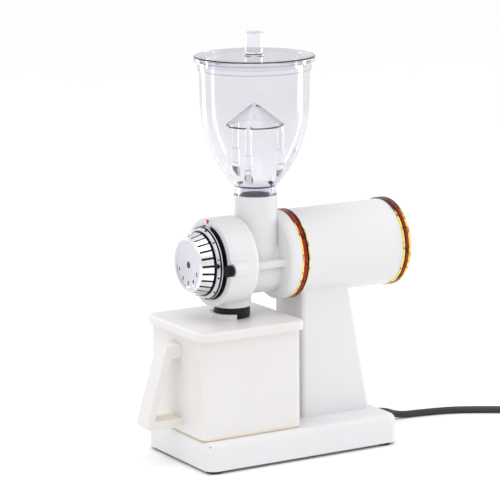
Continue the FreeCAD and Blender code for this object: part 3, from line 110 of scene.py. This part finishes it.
def smooth(value):
    """Ease from 0 to 1."""
    value = min(max(value, 0.0), 1.0)
    return value * value * (3.0 - 2.0 * value)


def coil_points():
    """Three turns on the floor, each inside the last, then one and a bit on top of them.

    Each step inward, outward or up is eased over a quarter turn. A NURBS curve of order 3 passes
    inside its control points, so pull moves them out until the curve meets the radius.
    """
    pull = math.cos(math.pi / COIL_STEPS)
    end_turn = 4.0 + (COIL_END - COIL_START) / 360.0
    count = round(end_turn * COIL_STEPS)
    points = []
    for i in range(1, count + 1):
        turn = end_turn * i / count
        second, third, fourth, fifth = (smooth((turn - start) * 4.0) for start in COIL_CHANGES)
        radius = COIL_OUTER + CORD_WIDTH * (fourth / 2 + fifth - second - third)
        height = FLOOR_LINE + (UPPER_LINE - FLOOR_LINE) * fourth
        angle = math.radians(COIL_START + 360.0 * turn)
        points.append((
            COIL_CENTRE[0] + radius / pull * math.cos(angle),
            COIL_CENTRE[1] + radius / pull * math.sin(angle),
            height,
        ))
    return points


def make_cord():
    """From the base's back to the plug. A bevel depth of 1 makes a point's radius the cord's own."""
    route = CORD_ROUTE + coil_points() + CORD_LEAD_IN
    data = bpy.data.curves.new("mains_cord", "CURVE")
    data.dimensions = "3D"
    data.bevel_depth = 1.0
    data.bevel_resolution = 6
    data.resolution_u = 12
    data.use_fill_caps = True
    spline = data.splines.new("NURBS")
    spline.points.add(len(route) - 1)
    for point, place in zip(spline.points, route):
        point.co = (place[0] * MM, place[1] * MM, place[2] * MM, 1.0)
        point.radius = CORD_RADIUS
    spline.order_u = 3
    spline.use_endpoint_u = True
    cord = bpy.data.objects.new("mains_cord", data)
    bpy.context.scene.collection.objects.link(cord)
    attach(cord, "housing")
    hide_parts("power_cord", "power_cord_coil")
    return cord


cord = make_cord()


# ---- materials ------------------------------------------------------------------------------

INK = (0.010, 0.010, 0.012)
WHITE = (1.0, 1.0, 1.0)
# Warm tint of the painted shade on the bin's foot and the handle's inner faces.
WARM_SHADE_TINT = (0.80, 0.68, 0.48)
# Painted shade for the knob's flutes.
FLUTE_SHADE = (0.03, 0.03, 0.035)
# Gold is the trim rings' own colour; the dark brown and deep red below it are painted reflection on
# them.
GOLD = (1.0, 0.80, 0.16)
TOP_REFLECTION = (0.10, 0.035, 0.015)
DEEP_RED = (0.45, 0.014, 0.008)

SOFT_EDGE = 0.08 * MM
BUMP_DEPTH = 0.4 * MM

TRIM_WIDTH = 8.0
# Height above the axis where the rings' dark painted reflection begins.
TOP_REFLECTION_HEIGHT = 32.0

KNOB_BACK_RADIUS = 28.5
KNOB_FRONT_RADIUS = 24.9
KNOB_BACK = -71.0
KNOB_LIP = -72.1
KNOB_EDGE = -82.9
KNOB_FRONT_PART = -80.0
KNOB_FACE_RADIUS = 23.2
FLUTE_DEPTH = 0.22

# The scale ring's painted shadow: black inside this radius, and across this span of y.
SCALE_INNER = 29.6
SCALE_GAP_SHADOW = (-68.1, -66.7)

# Heights below which the bin's foot, and the handle's upward faces, take a warm painted shade.
BIN_FOOT_SHADE_TOP = 30.9
HANDLE_FOOT = 60.0
PLUG_PINS_START = -82.0


class Finish:
    """A node material. Patterns lie in the object's own coordinates, which are the frame's."""

    def __init__(self, name):
        self.material = bpy.data.materials.new(name)
        self.material.use_nodes = True
        self.nodes = self.material.node_tree.nodes
        self.links = self.material.node_tree.links
        self.shader = self.nodes["Principled BSDF"]
        self.coordinates = self.nodes.new("ShaderNodeTexCoord").outputs

    def set(self, **values):
        for name, value in values.items():
            self.shader.inputs[name.replace("_", " ")].default_value = value
        return self

    def noise(self, scale, detail=3.0):
        node = self.nodes.new("ShaderNodeTexNoise")
        node.inputs["Scale"].default_value = scale
        node.inputs["Detail"].default_value = detail
        self.links.new(self.coordinates["Object"], node.inputs["Vector"])
        return node.outputs["Fac"]

    def ramp(self, factor, stops):
        """Colour through the given stops, each a place from 0 to 1 and its colour."""
        node = self.nodes.new("ShaderNodeValToRGB")
        elements = node.color_ramp.elements
        while len(elements) < len(stops):
            elements.new(0.5)
        for element, (place, colour) in zip(elements, stops):
            element.position = place
            element.color = (*colour, 1.0)
        self.links.new(factor, node.inputs["Fac"])
        return node.outputs["Color"]

    def spread(self, factor, low, high):
        """A noise value, which stays mostly between 0.3 and 0.7, stretched from low to high."""
        node = self.nodes.new("ShaderNodeMapRange")
        node.inputs["From Min"].default_value = 0.3
        node.inputs["From Max"].default_value = 0.7
        node.inputs["To Min"].default_value = low
        node.inputs["To Max"].default_value = high
        self.links.new(factor, node.inputs["Value"])
        return node.outputs["Result"]

    def math(self, operation, first, second=0.0):
        node = self.nodes.new("ShaderNodeMath")
        node.operation = operation
        for socket, value in zip(node.inputs, (first, second)):
            if isinstance(value, float):
                socket.default_value = value
            else:
                self.links.new(value, socket)
        return node.outputs["Value"]

    def times(self, first, second):
        return self.math("MULTIPLY", first, second)

    def axes(self, coordinate="Object"):
        node = self.nodes.new("ShaderNodeSeparateXYZ")
        self.links.new(self.coordinates[coordinate], node.inputs["Vector"])
        return node.outputs["X"], node.outputs["Y"], node.outputs["Z"]

    def from_axis(self, x, z):
        """Distance from the motor's axis."""
        up = self.math("SUBTRACT", z, AXIS)
        return self.math("SQRT", self.math("ADD", self.times(x, x), self.times(up, up)))

    def above(self, value, limit, soft=SOFT_EDGE):
        """0 below the limit and 1 above it, with a soft edge."""
        node = self.nodes.new("ShaderNodeMapRange")
        node.interpolation_type = "SMOOTHSTEP"
        node.inputs["From Min"].default_value = limit - soft
        node.inputs["From Max"].default_value = limit + soft
        self.links.new(value, node.inputs["Value"])
        return node.outputs["Result"]

    def below(self, value, limit, soft=SOFT_EDGE):
        return self.math("SUBTRACT", 1.0, self.above(value, limit, soft))

    def between(self, value, low, high, soft=SOFT_EDGE):
        return self.math("SUBTRACT", self.above(value, low, soft), self.above(value, high, soft))

    def mix(self, first, second):
        """A Mix node for colours. Its sockets 0, 6 and 7 are the factor and the two colours."""
        node = self.nodes.new("ShaderNodeMix")
        node.data_type = "RGBA"
        for socket, value in ((node.inputs[6], first), (node.inputs[7], second)):
            if isinstance(value, tuple):
                socket.default_value = (*value, 1.0)
            else:
                self.links.new(value, socket)
        return node

    def blend(self, factor, base, over):
        node = self.mix(base, over)
        self.links.new(factor, node.inputs[0])
        return node.outputs[2]

    def multiply(self, first, second):
        node = self.mix(first, second)
        node.blend_type = "MULTIPLY"
        node.inputs[0].default_value = 1.0
        return node.outputs[2]

    def facing(self):
        node = self.nodes.new("ShaderNodeLayerWeight")
        node.inputs["Blend"].default_value = 0.5
        return node.outputs["Facing"]

    def link(self, **outputs):
        for name, output in outputs.items():
            self.links.new(output, self.shader.inputs[name.replace("_", " ")])

    def tones(self, scale, dark, light):
        """Two close colours in soft clouds."""
        return self.ramp(self.noise(scale), [(0.3, dark), (0.7, light)])

    def texture(self, rough_scale, rough, bump_scale, bump):
        """A roughness that varies over the piece, and a fine uneven surface."""
        self.link(Roughness=self.spread(self.noise(rough_scale), *rough))
        node = self.nodes.new("ShaderNodeBump")
        node.inputs["Strength"].default_value = bump
        node.inputs["Distance"].default_value = BUMP_DEPTH
        self.links.new(self.noise(bump_scale, 2.0), node.inputs["Height"])
        self.link(Normal=node.outputs["Normal"])


def speckled(name, dark, light, rough, bump=0.1, fine=900.0, coarse=14.0, **values):
    """Two close tones over the piece, a roughness that varies, and a fine surface texture."""
    finish = Finish(name).set(**values)
    finish.link(Base_Color=finish.tones(coarse, dark, light))
    finish.texture(coarse * 6.0, rough, fine, bump)
    return finish.material


def clear_plastic(name, face, edge, bands=()):
    """Clear moulded plastic, with painted shade: darker where it is seen edge on, and in bands of
    height.
    """
    finish = Finish(name).set(Transmission_Weight=1.0, IOR=1.49)
    # Painted shade: the tint darkens where the surface is seen edge on, for the dark rims that clear
    # plastic shows.
    body = finish.ramp(finish.facing(), [(0.0, face), (0.62, face), (0.95, edge)])
    tint = finish.multiply(body, finish.tones(16.0, (0.97, 0.97, 0.975), WHITE))
    for low, high, shade in bands:
        tint = finish.blend(finish.between(finish.axes()[2], low * MM, high * MM), tint, shade)
    finish.link(Base_Color=tint)
    finish.texture(40.0, (0.015, 0.045), 420.0, 0.02)
    return finish.material


def striped_trim(name, start, stripes):
    """Polished gold ring, with painted reflection: dark over its top, in stripes round it and in
    random mottling.

    Stripes are given as shares of the ring's width, from start towards the motor's back.
    """
    finish = Finish(name).set(Metallic=0.3, Specular_IOR_Level=0.3)
    y, z = finish.axes()[1:]
    along = finish.math("DIVIDE", finish.math("SUBTRACT", y, start * MM), TRIM_WIDTH * MM)
    wobble = finish.times(finish.math("SUBTRACT", finish.noise(160.0, 2.0), 0.5), 0.05)
    along = finish.math("ADD", along, wobble)
    # Painted reflection: the ring's top is dark, and the stripes below add dark red and black.
    gold_and_reflection = finish.blend(finish.above(z, AXIS + TOP_REFLECTION_HEIGHT * MM, 0.0025), GOLD, TOP_REFLECTION)
    for low, high, shade in stripes:
        gold_and_reflection = finish.blend(finish.between(along, low, high, 0.015), gold_and_reflection, shade)
    # Painted reflection: random dark mottling over the ring.
    reflection_mottle = finish.ramp(finish.noise(220.0, 2.0), [(0.36, (0.30, 0.30, 0.30)), (0.50, WHITE)])
    finish.link(Base_Color=finish.multiply(gold_and_reflection, reflection_mottle))
    finish.texture(90.0, (0.14, 0.26), 700.0, 0.05)
    return finish.material


def plated_knob():
    """Bright plated lands and a satin face, with painted shade: black in the flutes and on the rear
    lip, for shadow in the grooves and in the gap behind the knob.
    """
    finish = Finish("plated_knob").set(Metallic=1.0)
    x, y, z = finish.axes()
    away = finish.from_axis(x, z)
    slope = (KNOB_BACK_RADIUS - KNOB_FRONT_RADIUS) / (KNOB_BACK - KNOB_EDGE)
    cone = finish.math("ADD", finish.times(y, slope), (KNOB_BACK_RADIUS - KNOB_BACK * slope) * MM)
    depth = finish.math("SUBTRACT", cone, away)
    shade = finish.tones(60.0, (0.90, 0.90, 0.92), (0.97, 0.97, 0.98))
    satin = finish.tones(30.0, (0.56, 0.55, 0.60), (0.64, 0.63, 0.68))
    front = finish.below(y, KNOB_FRONT_PART * MM)
    face = finish.times(finish.below(away, KNOB_FACE_RADIUS * MM, 0.0005), front)
    shade = finish.blend(face, shade, satin)
    # Painted shade: the flutes' grooves are near black.
    flute_shade = finish.times(
        finish.above(y, (KNOB_EDGE + 0.05) * MM), finish.above(depth, FLUTE_DEPTH * MM))
    flute_shade = finish.times(flute_shade, finish.above(away, (KNOB_FACE_RADIUS - 0.2) * MM))
    shade = finish.blend(flute_shade, shade, FLUTE_SHADE)
    # Painted shadow: the rear lip is black, where the gap behind the knob is in shade.
    finish.link(Base_Color=finish.blend(finish.above(y, KNOB_LIP * MM), shade, INK))
    finish.texture(80.0, (0.16, 0.30), 900.0, 0.06)
    return finish.material


def scale_paint():
    """Scale ring: a grey-white scale band and a pale rim, with painted shadow: black behind the
    knob, and a black line between band and rim where a gap lies in shade.
    """
    finish = Finish("scale_paint").set(Metallic=0.15)
    x, y, z = finish.axes()
    band = finish.tones(45.0, (0.62, 0.64, 0.68), (0.72, 0.74, 0.78))
    rim = finish.tones(45.0, (0.70, 0.70, 0.72), (0.78, 0.78, 0.80))
    shadow_front, shadow_back = (place * MM for place in SCALE_GAP_SHADOW)
    shade = finish.blend(finish.above(y, shadow_back), band, rim)
    # Painted shadow: a black line over the gap between scale band and rim.
    shade = finish.blend(finish.between(y, shadow_front, shadow_back), shade, INK)
    # Painted shadow: black behind the knob.
    inner = finish.below(finish.from_axis(x, z), SCALE_INNER * MM)
    finish.link(Base_Color=finish.blend(inner, shade, INK))
    finish.texture(80.0, (0.26, 0.4), 900.0, 0.05)
    return finish.material


def bin_plastic(name, inner_warm_shade=False):
    """Warm white moulding, with a warm painted shade along the bin's foot or, on the handle, on its
    inner faces.
    """
    finish = Finish(name).set(Subsurface_Weight=0.08, Subsurface_Radius=(0.004, 0.003, 0.002))
    body = finish.tones(14.0, (0.775, 0.755, 0.745), (0.79, 0.775, 0.765))
    height = finish.axes()[2]
    if inner_warm_shade:
        # Painted shade: a warm tint on the handle's faces that face +Y, and on its upward faces low
        # down.
        facing_y, facing_z = finish.axes("Normal")[1:]
        behind = finish.above(facing_y, 0.25, 0.1)
        upward = finish.above(facing_z, 0.5, 0.1)
        foot = finish.times(upward, finish.below(height, HANDLE_FOOT * MM, 0.001))
        warm_shade = finish.times(finish.math("MAXIMUM", behind, foot), 0.55)
    else:
        # Painted shade: a warm band along the bin's foot, where it meets the base.
        warm_shade = finish.below(height, BIN_FOOT_SHADE_TOP * MM, 0.0003)
    finish.link(Base_Color=finish.blend(warm_shade, body, WARM_SHADE_TINT))
    finish.texture(84.0, (0.30, 0.34), 450.0, 0.05)
    return finish.material


def plug_mould():
    """Moulded body, and bright metal pins beyond it."""
    finish = Finish("plug_mould")
    pins = finish.below(finish.axes()[0], PLUG_PINS_START * MM)
    black = finish.tones(60.0, (0.012, 0.012, 0.013), (0.024, 0.024, 0.026))
    metal = finish.tones(90.0, (0.55, 0.54, 0.50), (0.68, 0.67, 0.62))
    finish.link(Base_Color=finish.blend(pins, black, metal), Metallic=pins)
    finish.texture(50.0, (0.28, 0.45), 1100.0, 0.12)
    return finish.material


MATERIALS = {
    "white_enamel": speckled(
        "white_enamel", (0.765, 0.765, 0.785), (0.778, 0.778, 0.798), (0.30, 0.34),
        bump=0.04, fine=450.0),
    "white_casting": speckled(
        "white_casting", (0.765, 0.765, 0.775), (0.78, 0.78, 0.79), (0.32, 0.37),
        bump=0.05, fine=650.0, coarse=6.0),
    "pale_grey_plate": speckled(
        "pale_grey_plate", (0.735, 0.735, 0.76), (0.765, 0.765, 0.79), (0.32, 0.40)),
    "chrome_dial": plated_knob(),
    "black_plastic": speckled(
        "black_plastic", (0.008, 0.008, 0.010), (0.018, 0.018, 0.021), (0.34, 0.48), fine=1100.0,
        Specular_IOR_Level=0.22),
    "black_rubber": speckled(
        "black_rubber", (0.014, 0.014, 0.015), (0.028, 0.028, 0.03), (0.6, 0.8)),
    "cord_black": speckled(
        "cord_black", (0.012, 0.013, 0.015), (0.028, 0.030, 0.034), (0.30, 0.42), fine=1300.0),
    "gold_trim": striped_trim("gold_trim", 12.5, [(0.17, 0.58, DEEP_RED), (0.58, 0.84, INK)]),
    "bin_white": bin_plastic("bin_white"),
    "bright_steel": speckled(
        "bright_steel", (0.5, 0.5, 0.5), (0.6, 0.6, 0.6), (0.2, 0.35), Metallic=1.0),
    "burr_steel": speckled(
        "burr_steel", (0.4, 0.4, 0.4), (0.5, 0.5, 0.5), (0.3, 0.45), Metallic=1.0),
    "core_iron": speckled("core_iron", (0.2, 0.2, 0.2), (0.3, 0.3, 0.3), (0.4, 0.6), Metallic=1.0),
    "copper_winding": speckled(
        "copper_winding", (0.5, 0.2, 0.08), (0.7, 0.3, 0.15), (0.3, 0.45), Metallic=1.0),
    "grey_plastic": speckled("grey_plastic", (0.2, 0.2, 0.21), (0.28, 0.28, 0.3), (0.4, 0.5)),
    "red_rocker": speckled("red_rocker", (0.5, 0.01, 0.01), (0.6, 0.02, 0.02), (0.25, 0.35)),
    "cast_aluminium": speckled(
        "cast_aluminium", (0.5, 0.5, 0.52), (0.6, 0.6, 0.62), (0.35, 0.5), Metallic=1.0),
    "pointer_white": speckled("pointer_white", (0.80, 0.80, 0.80), (0.84, 0.84, 0.84), (0.3, 0.4)),
    "clear_hopper": clear_plastic(
        "clear_hopper", (0.885, 0.88, 0.91), (0.60, 0.59, 0.68),
        # Painted shade: a darker ring round the neck, and a thin dark line where the lid's skirt
        # ends.
        bands=[(237.0, 245.2, (0.74, 0.74, 0.83)), (350.9, 351.8, (0.55, 0.55, 0.62))]),
}
NODE_FINISHES = {
    "rear_trim_ring": striped_trim("rear_trim", 121.5, [(0.17, 0.40, INK), (0.40, 0.73, DEEP_RED)]),
    "dial_scale_ring": scale_paint(),
    "hopper_lid": clear_plastic("clear_lid", (0.88, 0.87, 0.92), (0.84, 0.83, 0.90)),
    "bean_guard": clear_plastic("clear_guard", (0.95, 0.95, 0.96), (0.40, 0.40, 0.44)),
    "mains_plug": plug_mould(),
    "bin_handle": bin_plastic("handle_white", inner_warm_shade=True),
    "dial_screw": speckled(
        "dark_screw", (0.06, 0.06, 0.065), (0.12, 0.12, 0.125), (0.3, 0.45), Metallic=1.0),
    "thumbscrew": speckled(
        "matt_black", (0.006, 0.006, 0.007), (0.012, 0.012, 0.014), (0.5, 0.65), fine=1100.0,
        Specular_IOR_Level=0.12),
}
MARK_INK = speckled(
    "mark_ink", (0.008, 0.008, 0.010), (0.016, 0.016, 0.020), (0.35, 0.5), Specular_IOR_Level=0.15)
MARK_RED = speckled(
    "mark_red", (0.44, 0.002, 0.018), (0.54, 0.005, 0.030), (0.35, 0.5), Specular_IOR_Level=0.15)
MARK_DARK_RED = speckled(
    "mark_dark_red", (0.16, 0.004, 0.010), (0.24, 0.008, 0.018), (0.35, 0.5),
    Specular_IOR_Level=0.15)
MARK_WHITE = speckled("mark_white", (0.75, 0.75, 0.75), (0.82, 0.82, 0.82), (0.35, 0.5))


def dress_nodes():
    """Each CAD node takes the finish of its material slot in the record, or its own."""
    for part in frame["record"]["subparts"]:
        node = part["node"]
        slots = NODES[node].data.materials
        slots.clear()
        slots.append(NODE_FINISHES.get(node, MATERIALS[part["material_slot"]]))


dress_nodes()
cord.data.materials.append(MATERIALS["cord_black"])


# ---- small pieces the CAD leaves out --------------------------------------------------------

TICK_START = 15.0
TICK_PITCH = 30.0
TICK_FRONT = -69.9
TICK_FOOT = 31.0
TICK_TOP = 32.35
INDEX_ANGLE = 85.0
DIGIT_START = 248.0
DIGIT_PITCH = 34.0
DIGIT_CIRCLE = 16.8
DIGIT_FACE = -83.35
DIGIT_SIZE = 5.0
PAINT_DEPTH = 0.12
POINTER_FACE = -62.4
ROCKER_MIDDLE = (-26.6, 52.0, 74.0)
ROCKER_SLOPE = 2.0 / 6.8
SWITCH_RING_STEPS = 24
RIB_COUNT = 6
RIB_HEIGHT = 0.6
RING_STEPS = 48
BOWL_ARC = ((17.4, 248.0), (34.6, 271.8), (47.0, 318.0))
GUARD_LEG_ANGLES = (76.0, 196.0, 316.0)
GUARD_LEG_CIRCLE = 24.2
SOCKET_RADIUS = 3.7
SOCKET_TOP = 263.6
SOCKET_STEPS = 32



def join_loops(work, first, second):
    """Wall of four-sided faces between two closed loops of points."""
    for i, corner in enumerate(first):
        j = (i + 1) % len(first)
        work.faces.new((corner, first[j], second[j], second[i]))


def add_prism(work, corners, depth):
    """Closed prism from a flat outline, with depth as the vector to its other face."""
    low = [work.verts.new(corner) for corner in corners]
    high = [work.verts.new(Vector(corner) + Vector(depth)) for corner in corners]
    work.faces.new(low[::-1])
    work.faces.new(high)
    join_loops(work, low, high)


def add_ring(work, centre, along, outer, width, height):
    """Rounded rib round a cylinder: a closed ring of a half-round section."""
    along = Vector(along).normalized()
    side = along.orthogonal().normalized()
    third = along.cross(side)
    section = []
    for i in range(9):
        angle = math.pi * i / 8
        section.append((-width / 2 * math.cos(angle), outer - height + height * math.sin(angle)))
    section += [(width / 2, outer - 2 * height), (-width / 2, outer - 2 * height)]
    loops = []
    for step in range(RING_STEPS):
        turn = 2 * math.pi * step / RING_STEPS
        out = side * math.cos(turn) + third * math.sin(turn)
        loops.append([work.verts.new(Vector(centre) + along * a + out * r) for a, r in section])
    for loop, following in zip(loops, loops[1:] + loops[:1]):
        join_loops(work, loop, following)


def new_piece(name, work, body, material, smooth_faces=False):
    """Turn a bmesh into a piece that rides on a body."""
    bmesh.ops.recalc_face_normals(work, faces=work.faces)
    mesh = bpy.data.meshes.new(name)
    work.to_mesh(mesh)
    work.free()
    for face in mesh.polygons:
        face.use_smooth = smooth_faces
    mesh.materials.append(material)
    piece = bpy.data.objects.new(name, mesh)
    bpy.context.scene.collection.objects.link(piece)
    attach(piece, body)


def on_dial(degrees, radius, y, across=0.0):
    """Point at an angle from the top of the dial, clockwise as its user sees it."""
    angle = math.radians(degrees)
    out = Vector((math.sin(angle), 0.0, math.cos(angle)))
    turn = Vector((math.cos(angle), 0.0, -math.sin(angle)))
    return (out * radius + turn * across) * MM + Vector((0.0, y * MM, AXIS))


def dial_prism(work, degrees, inner, outer, outline):
    """Prism that stands out from the dial's axis, on an outline of (y, across) points."""
    corners = [on_dial(degrees, inner, y, across) for y, across in outline]
    add_prism(work, corners, on_dial(degrees, outer - inner, 0.0) - on_dial(degrees, 0.0, 0.0))


def add_tick(work, degrees, half_width, back):
    """Raised bar across the scale band, from its front edge to y = back."""
    outline = [
        (TICK_FRONT, -half_width), (TICK_FRONT, half_width), (back, half_width), (back, -half_width)]
    dial_prism(work, degrees, TICK_FOOT, TICK_TOP, outline)


def make_dial_marks():
    """The scale's ticks and zero mark, the knob's index bar, and five plain digits on its face."""
    ticks = bmesh.new()
    for mark in range(1, 12):
        add_tick(ticks, TICK_START + TICK_PITCH * mark, half_width=0.55, back=-68.5)
    new_piece("scale_ticks", ticks, "dial", MARK_INK)
    zero = bmesh.new()
    add_tick(zero, TICK_START, half_width=1.1, back=-68.3)
    new_piece("scale_zero", zero, "dial", MARK_DARK_RED)

    index = bmesh.new()
    bar = [(-78.6, -0.45), (-72.2, -0.8), (-72.2, 0.8), (-78.6, 0.45)]
    head = [(-72.4, -0.8), (-71.6, -1.9), (-69.9, -1.9), (-68.6, -0.9),
            (-68.6, 0.9), (-69.9, 1.9), (-71.6, 1.9), (-72.4, 0.8)]
    dial_prism(index, INDEX_ANGLE, inner=25.5, outer=28.45, outline=bar)
    dial_prism(index, INDEX_ANGLE, inner=27.0, outer=32.5, outline=head)
    new_piece("dial_index", index, "dial", MARK_INK)

    facing = Matrix(((1.0, 0.0, 0.0), (0.0, 0.0, -1.0), (0.0, 1.0, 0.0))).to_4x4()
    for digit in range(1, 6):
        name = "dial_digit_%d" % digit
        degrees = DIGIT_START - DIGIT_PITCH * (digit - 1)
        data = bpy.data.curves.new(name, "FONT")
        data.body = str(digit)
        data.size = DIGIT_SIZE * MM
        data.extrude = PAINT_DEPTH * MM
        data.align_x = "CENTER"
        data.align_y = "CENTER"
        data.materials.append(MARK_INK)
        piece = bpy.data.objects.new(name, data)
        bpy.context.scene.collection.objects.link(piece)
        place = on_dial(degrees, DIGIT_CIRCLE, DIGIT_FACE)
        piece.matrix_world = Matrix.Translation(place) @ facing
        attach(piece, "dial")


def make_pointer_mark():
    """Red triangle on the pointer tab, its tip down towards the scale."""
    work = bmesh.new()
    outline = [(-3.1, 39.0), (3.1, 39.0), (3.1, 38.4), (0.2, 34.9), (-0.2, 34.9), (-3.1, 38.4)]
    corners = [(x * MM, POINTER_FACE * MM, AXIS + z * MM) for x, z in outline]
    add_prism(work, corners, (0.0, -PAINT_DEPTH * MM, 0.0))
    new_piece("pointer_mark", work, "housing", MARK_RED)


def make_switch_marks():
    """A bar and a ring on the rocker's two sloping halves."""
    x, y, z = ROCKER_MIDDLE
    bar = bmesh.new()
    outline = ((2.0, -0.45), (2.0, 0.45), (5.0, 0.45), (5.0, -0.45))
    corners = [
        Vector((x - ROCKER_SLOPE * up + 0.1, y + across, z + up)) * MM for up, across in outline]
    add_prism(bar, corners, (-0.25 * MM, 0.0, 0.0))
    new_piece("switch_on_mark", bar, "rocker", MARK_WHITE)

    ring = bmesh.new()
    loops = []
    for lift, radius in ((0.1, 1.0), (0.1, 1.6), (-0.15, 1.6), (-0.15, 1.0)):
        loop = []
        for step in range(SWITCH_RING_STEPS):
            turn = 2 * math.pi * step / SWITCH_RING_STEPS
            up = -3.5 + radius * math.sin(turn)
            spot = Vector((x + ROCKER_SLOPE * up + lift, y + radius * math.cos(turn), z + up))
            loop.append(ring.verts.new(spot * MM))
        loops.append(loop)
    for loop, following in zip(loops, loops[1:] + loops[:1]):
        join_loops(ring, loop, following)
    new_piece("switch_off_mark", ring, "rocker", MARK_WHITE)


def make_ribs(name, slot_name, start, pitch, along, radius, growth, width):
    """Row of ribs along a tapered strain relief. The radius changes by growth from rib to rib."""
    work = bmesh.new()
    for rib in range(RIB_COUNT):
        centre = (Vector(start) + Vector(pitch) * rib) * MM
        add_ring(work, centre, along, (radius + growth * rib) * MM, width * MM, RIB_HEIGHT * MM)
    new_piece(name, work, "housing", MATERIALS[slot_name], True)


def make_relief_ribs():
    """Ribs round the strain reliefs at both ends of the cord."""
    make_ribs(
        "grip_ribs", "black_rubber", start=(-18.0, 109.5, 12.0), pitch=(0.0, 3.0, 0.0),
        along=(0.0, 1.0, 0.0), radius=5.91, growth=-0.21, width=1.5)
    make_ribs(
        "plug_ribs", "black_plastic", start=(-26.0, 359.8, 8.0), pitch=(-3.4, 0.0, 0.0),
        along=(1.0, 0.0, 0.0), radius=4.85, growth=3.4 / 15.0, width=1.7)


def bowl_floor(radius):
    """Height of the bowl's curved inner wall at a distance from the hopper's axis, in mm.

    The wall is the arc through three points, so its centre comes from two linear equations.
    """
    (r1, z1), (r2, z2), (r3, z3) = BOWL_ARC
    a, b, c, d = r2 - r1, z2 - z1, r3 - r1, z3 - z1
    e = (r2 * r2 - r1 * r1 + z2 * z2 - z1 * z1) / 2
    f = (r3 * r3 - r1 * r1 + z3 * z3 - z1 * z1) / 2
    turn = a * d - b * c
    centre_r, centre_z = (e * d - b * f) / turn, (a * f - e * c) / turn
    reach = math.hypot(r1 - centre_r, z1 - centre_z)
    return centre_z - math.sqrt(reach ** 2 - (radius - centre_r) ** 2)


def make_leg_sockets():
    """Three posts on the bowl's wall, under the legs of the bean guard."""
    work = bmesh.new()
    for degrees in GUARD_LEG_ANGLES:
        angle = math.radians(degrees)
        middle = Vector((math.cos(angle), math.sin(angle))) * GUARD_LEG_CIRCLE
        low, high = [], []
        for step in range(SOCKET_STEPS):
            turn = 2 * math.pi * step / SOCKET_STEPS
            spot = middle + Vector((math.cos(turn), math.sin(turn))) * SOCKET_RADIUS
            floor = min(bowl_floor(spot.length) - 0.3, SOCKET_TOP - 0.4)
            place = (spot.x * MM, (spot.y + THROAT_Y) * MM)
            low.append(work.verts.new((*place, floor * MM)))
            high.append(work.verts.new((*place, SOCKET_TOP * MM)))
        work.faces.new(high)
        work.faces.new(low[::-1])
        join_loops(work, low, high)
    new_piece("leg_sockets", work, "hopper", NODE_FINISHES["bean_guard"])


make_leg_sockets()
make_dial_marks()
make_pointer_mark()
make_switch_marks()
make_relief_ribs()


# ---- studio ---------------------------------------------------------------------------------

FLOOR_REACH = 24.0
LIGHT_AIM = Vector((0.0, 0.0, 0.18))


def make_floor():
    """Plain white floor, wide enough to meet the white world behind it."""
    mesh = bpy.data.meshes.new("studio_floor")
    work = bmesh.new()
    bmesh.ops.create_grid(work, x_segments=8, y_segments=8, size=FLOOR_REACH)
    work.to_mesh(mesh)
    work.free()
    floor = bpy.data.objects.new("studio_floor", mesh)
    bpy.context.scene.collection.objects.link(floor)
    paper = speckled(
        "studio_paper", (0.975, 0.975, 0.975), (0.985, 0.985, 0.985), (0.8, 0.9),
        coarse=2.0, fine=200.0)
    mesh.materials.append(paper)


def soft_light(name, place, size, power):
    """White panel that faces the middle of the machine."""
    data = bpy.data.lights.new(name, "AREA")
    data.shape = "RECTANGLE"
    data.size, data.size_y = size
    data.energy = power
    light = bpy.data.objects.new(name, data)
    bpy.context.scene.collection.objects.link(light)
    light.location = place
    light.rotation_mode = "QUATERNION"
    light.rotation_quaternion = (LIGHT_AIM - Vector(place)).to_track_quat("-Z", "Y")


def make_studio():
    """White floor and world, a wide soft sun, a panel overhead and a tall panel on each side."""
    make_floor()
    world = bpy.data.worlds.new("studio")
    world.use_nodes = True
    background = world.node_tree.nodes["Background"]
    background.inputs["Color"].default_value = (1.0, 1.0, 1.0, 1.0)
    background.inputs["Strength"].default_value = 0.82
    bpy.context.scene.world = world
    bpy.context.scene.view_settings.view_transform = "Standard"
    sky = bpy.data.lights.new("sky", "SUN")
    sky.energy = 0.62
    sky.angle = math.radians(70.0)
    lamp = bpy.data.objects.new("sky", sky)
    bpy.context.scene.collection.objects.link(lamp)
    lamp.rotation_euler = (math.radians(12.0), math.radians(14.0), 0.0)
    soft_light("overhead", (0.2, -0.2, 1.8), (1.6, 1.6), 6.0)
    soft_light("left_strip", (-1.565, -0.42, 0.45), (0.30, 1.1), 5.0)
    soft_light("right_strip", (0.34, 1.59, 0.45), (0.34, 1.1), 6.0)


make_studio()
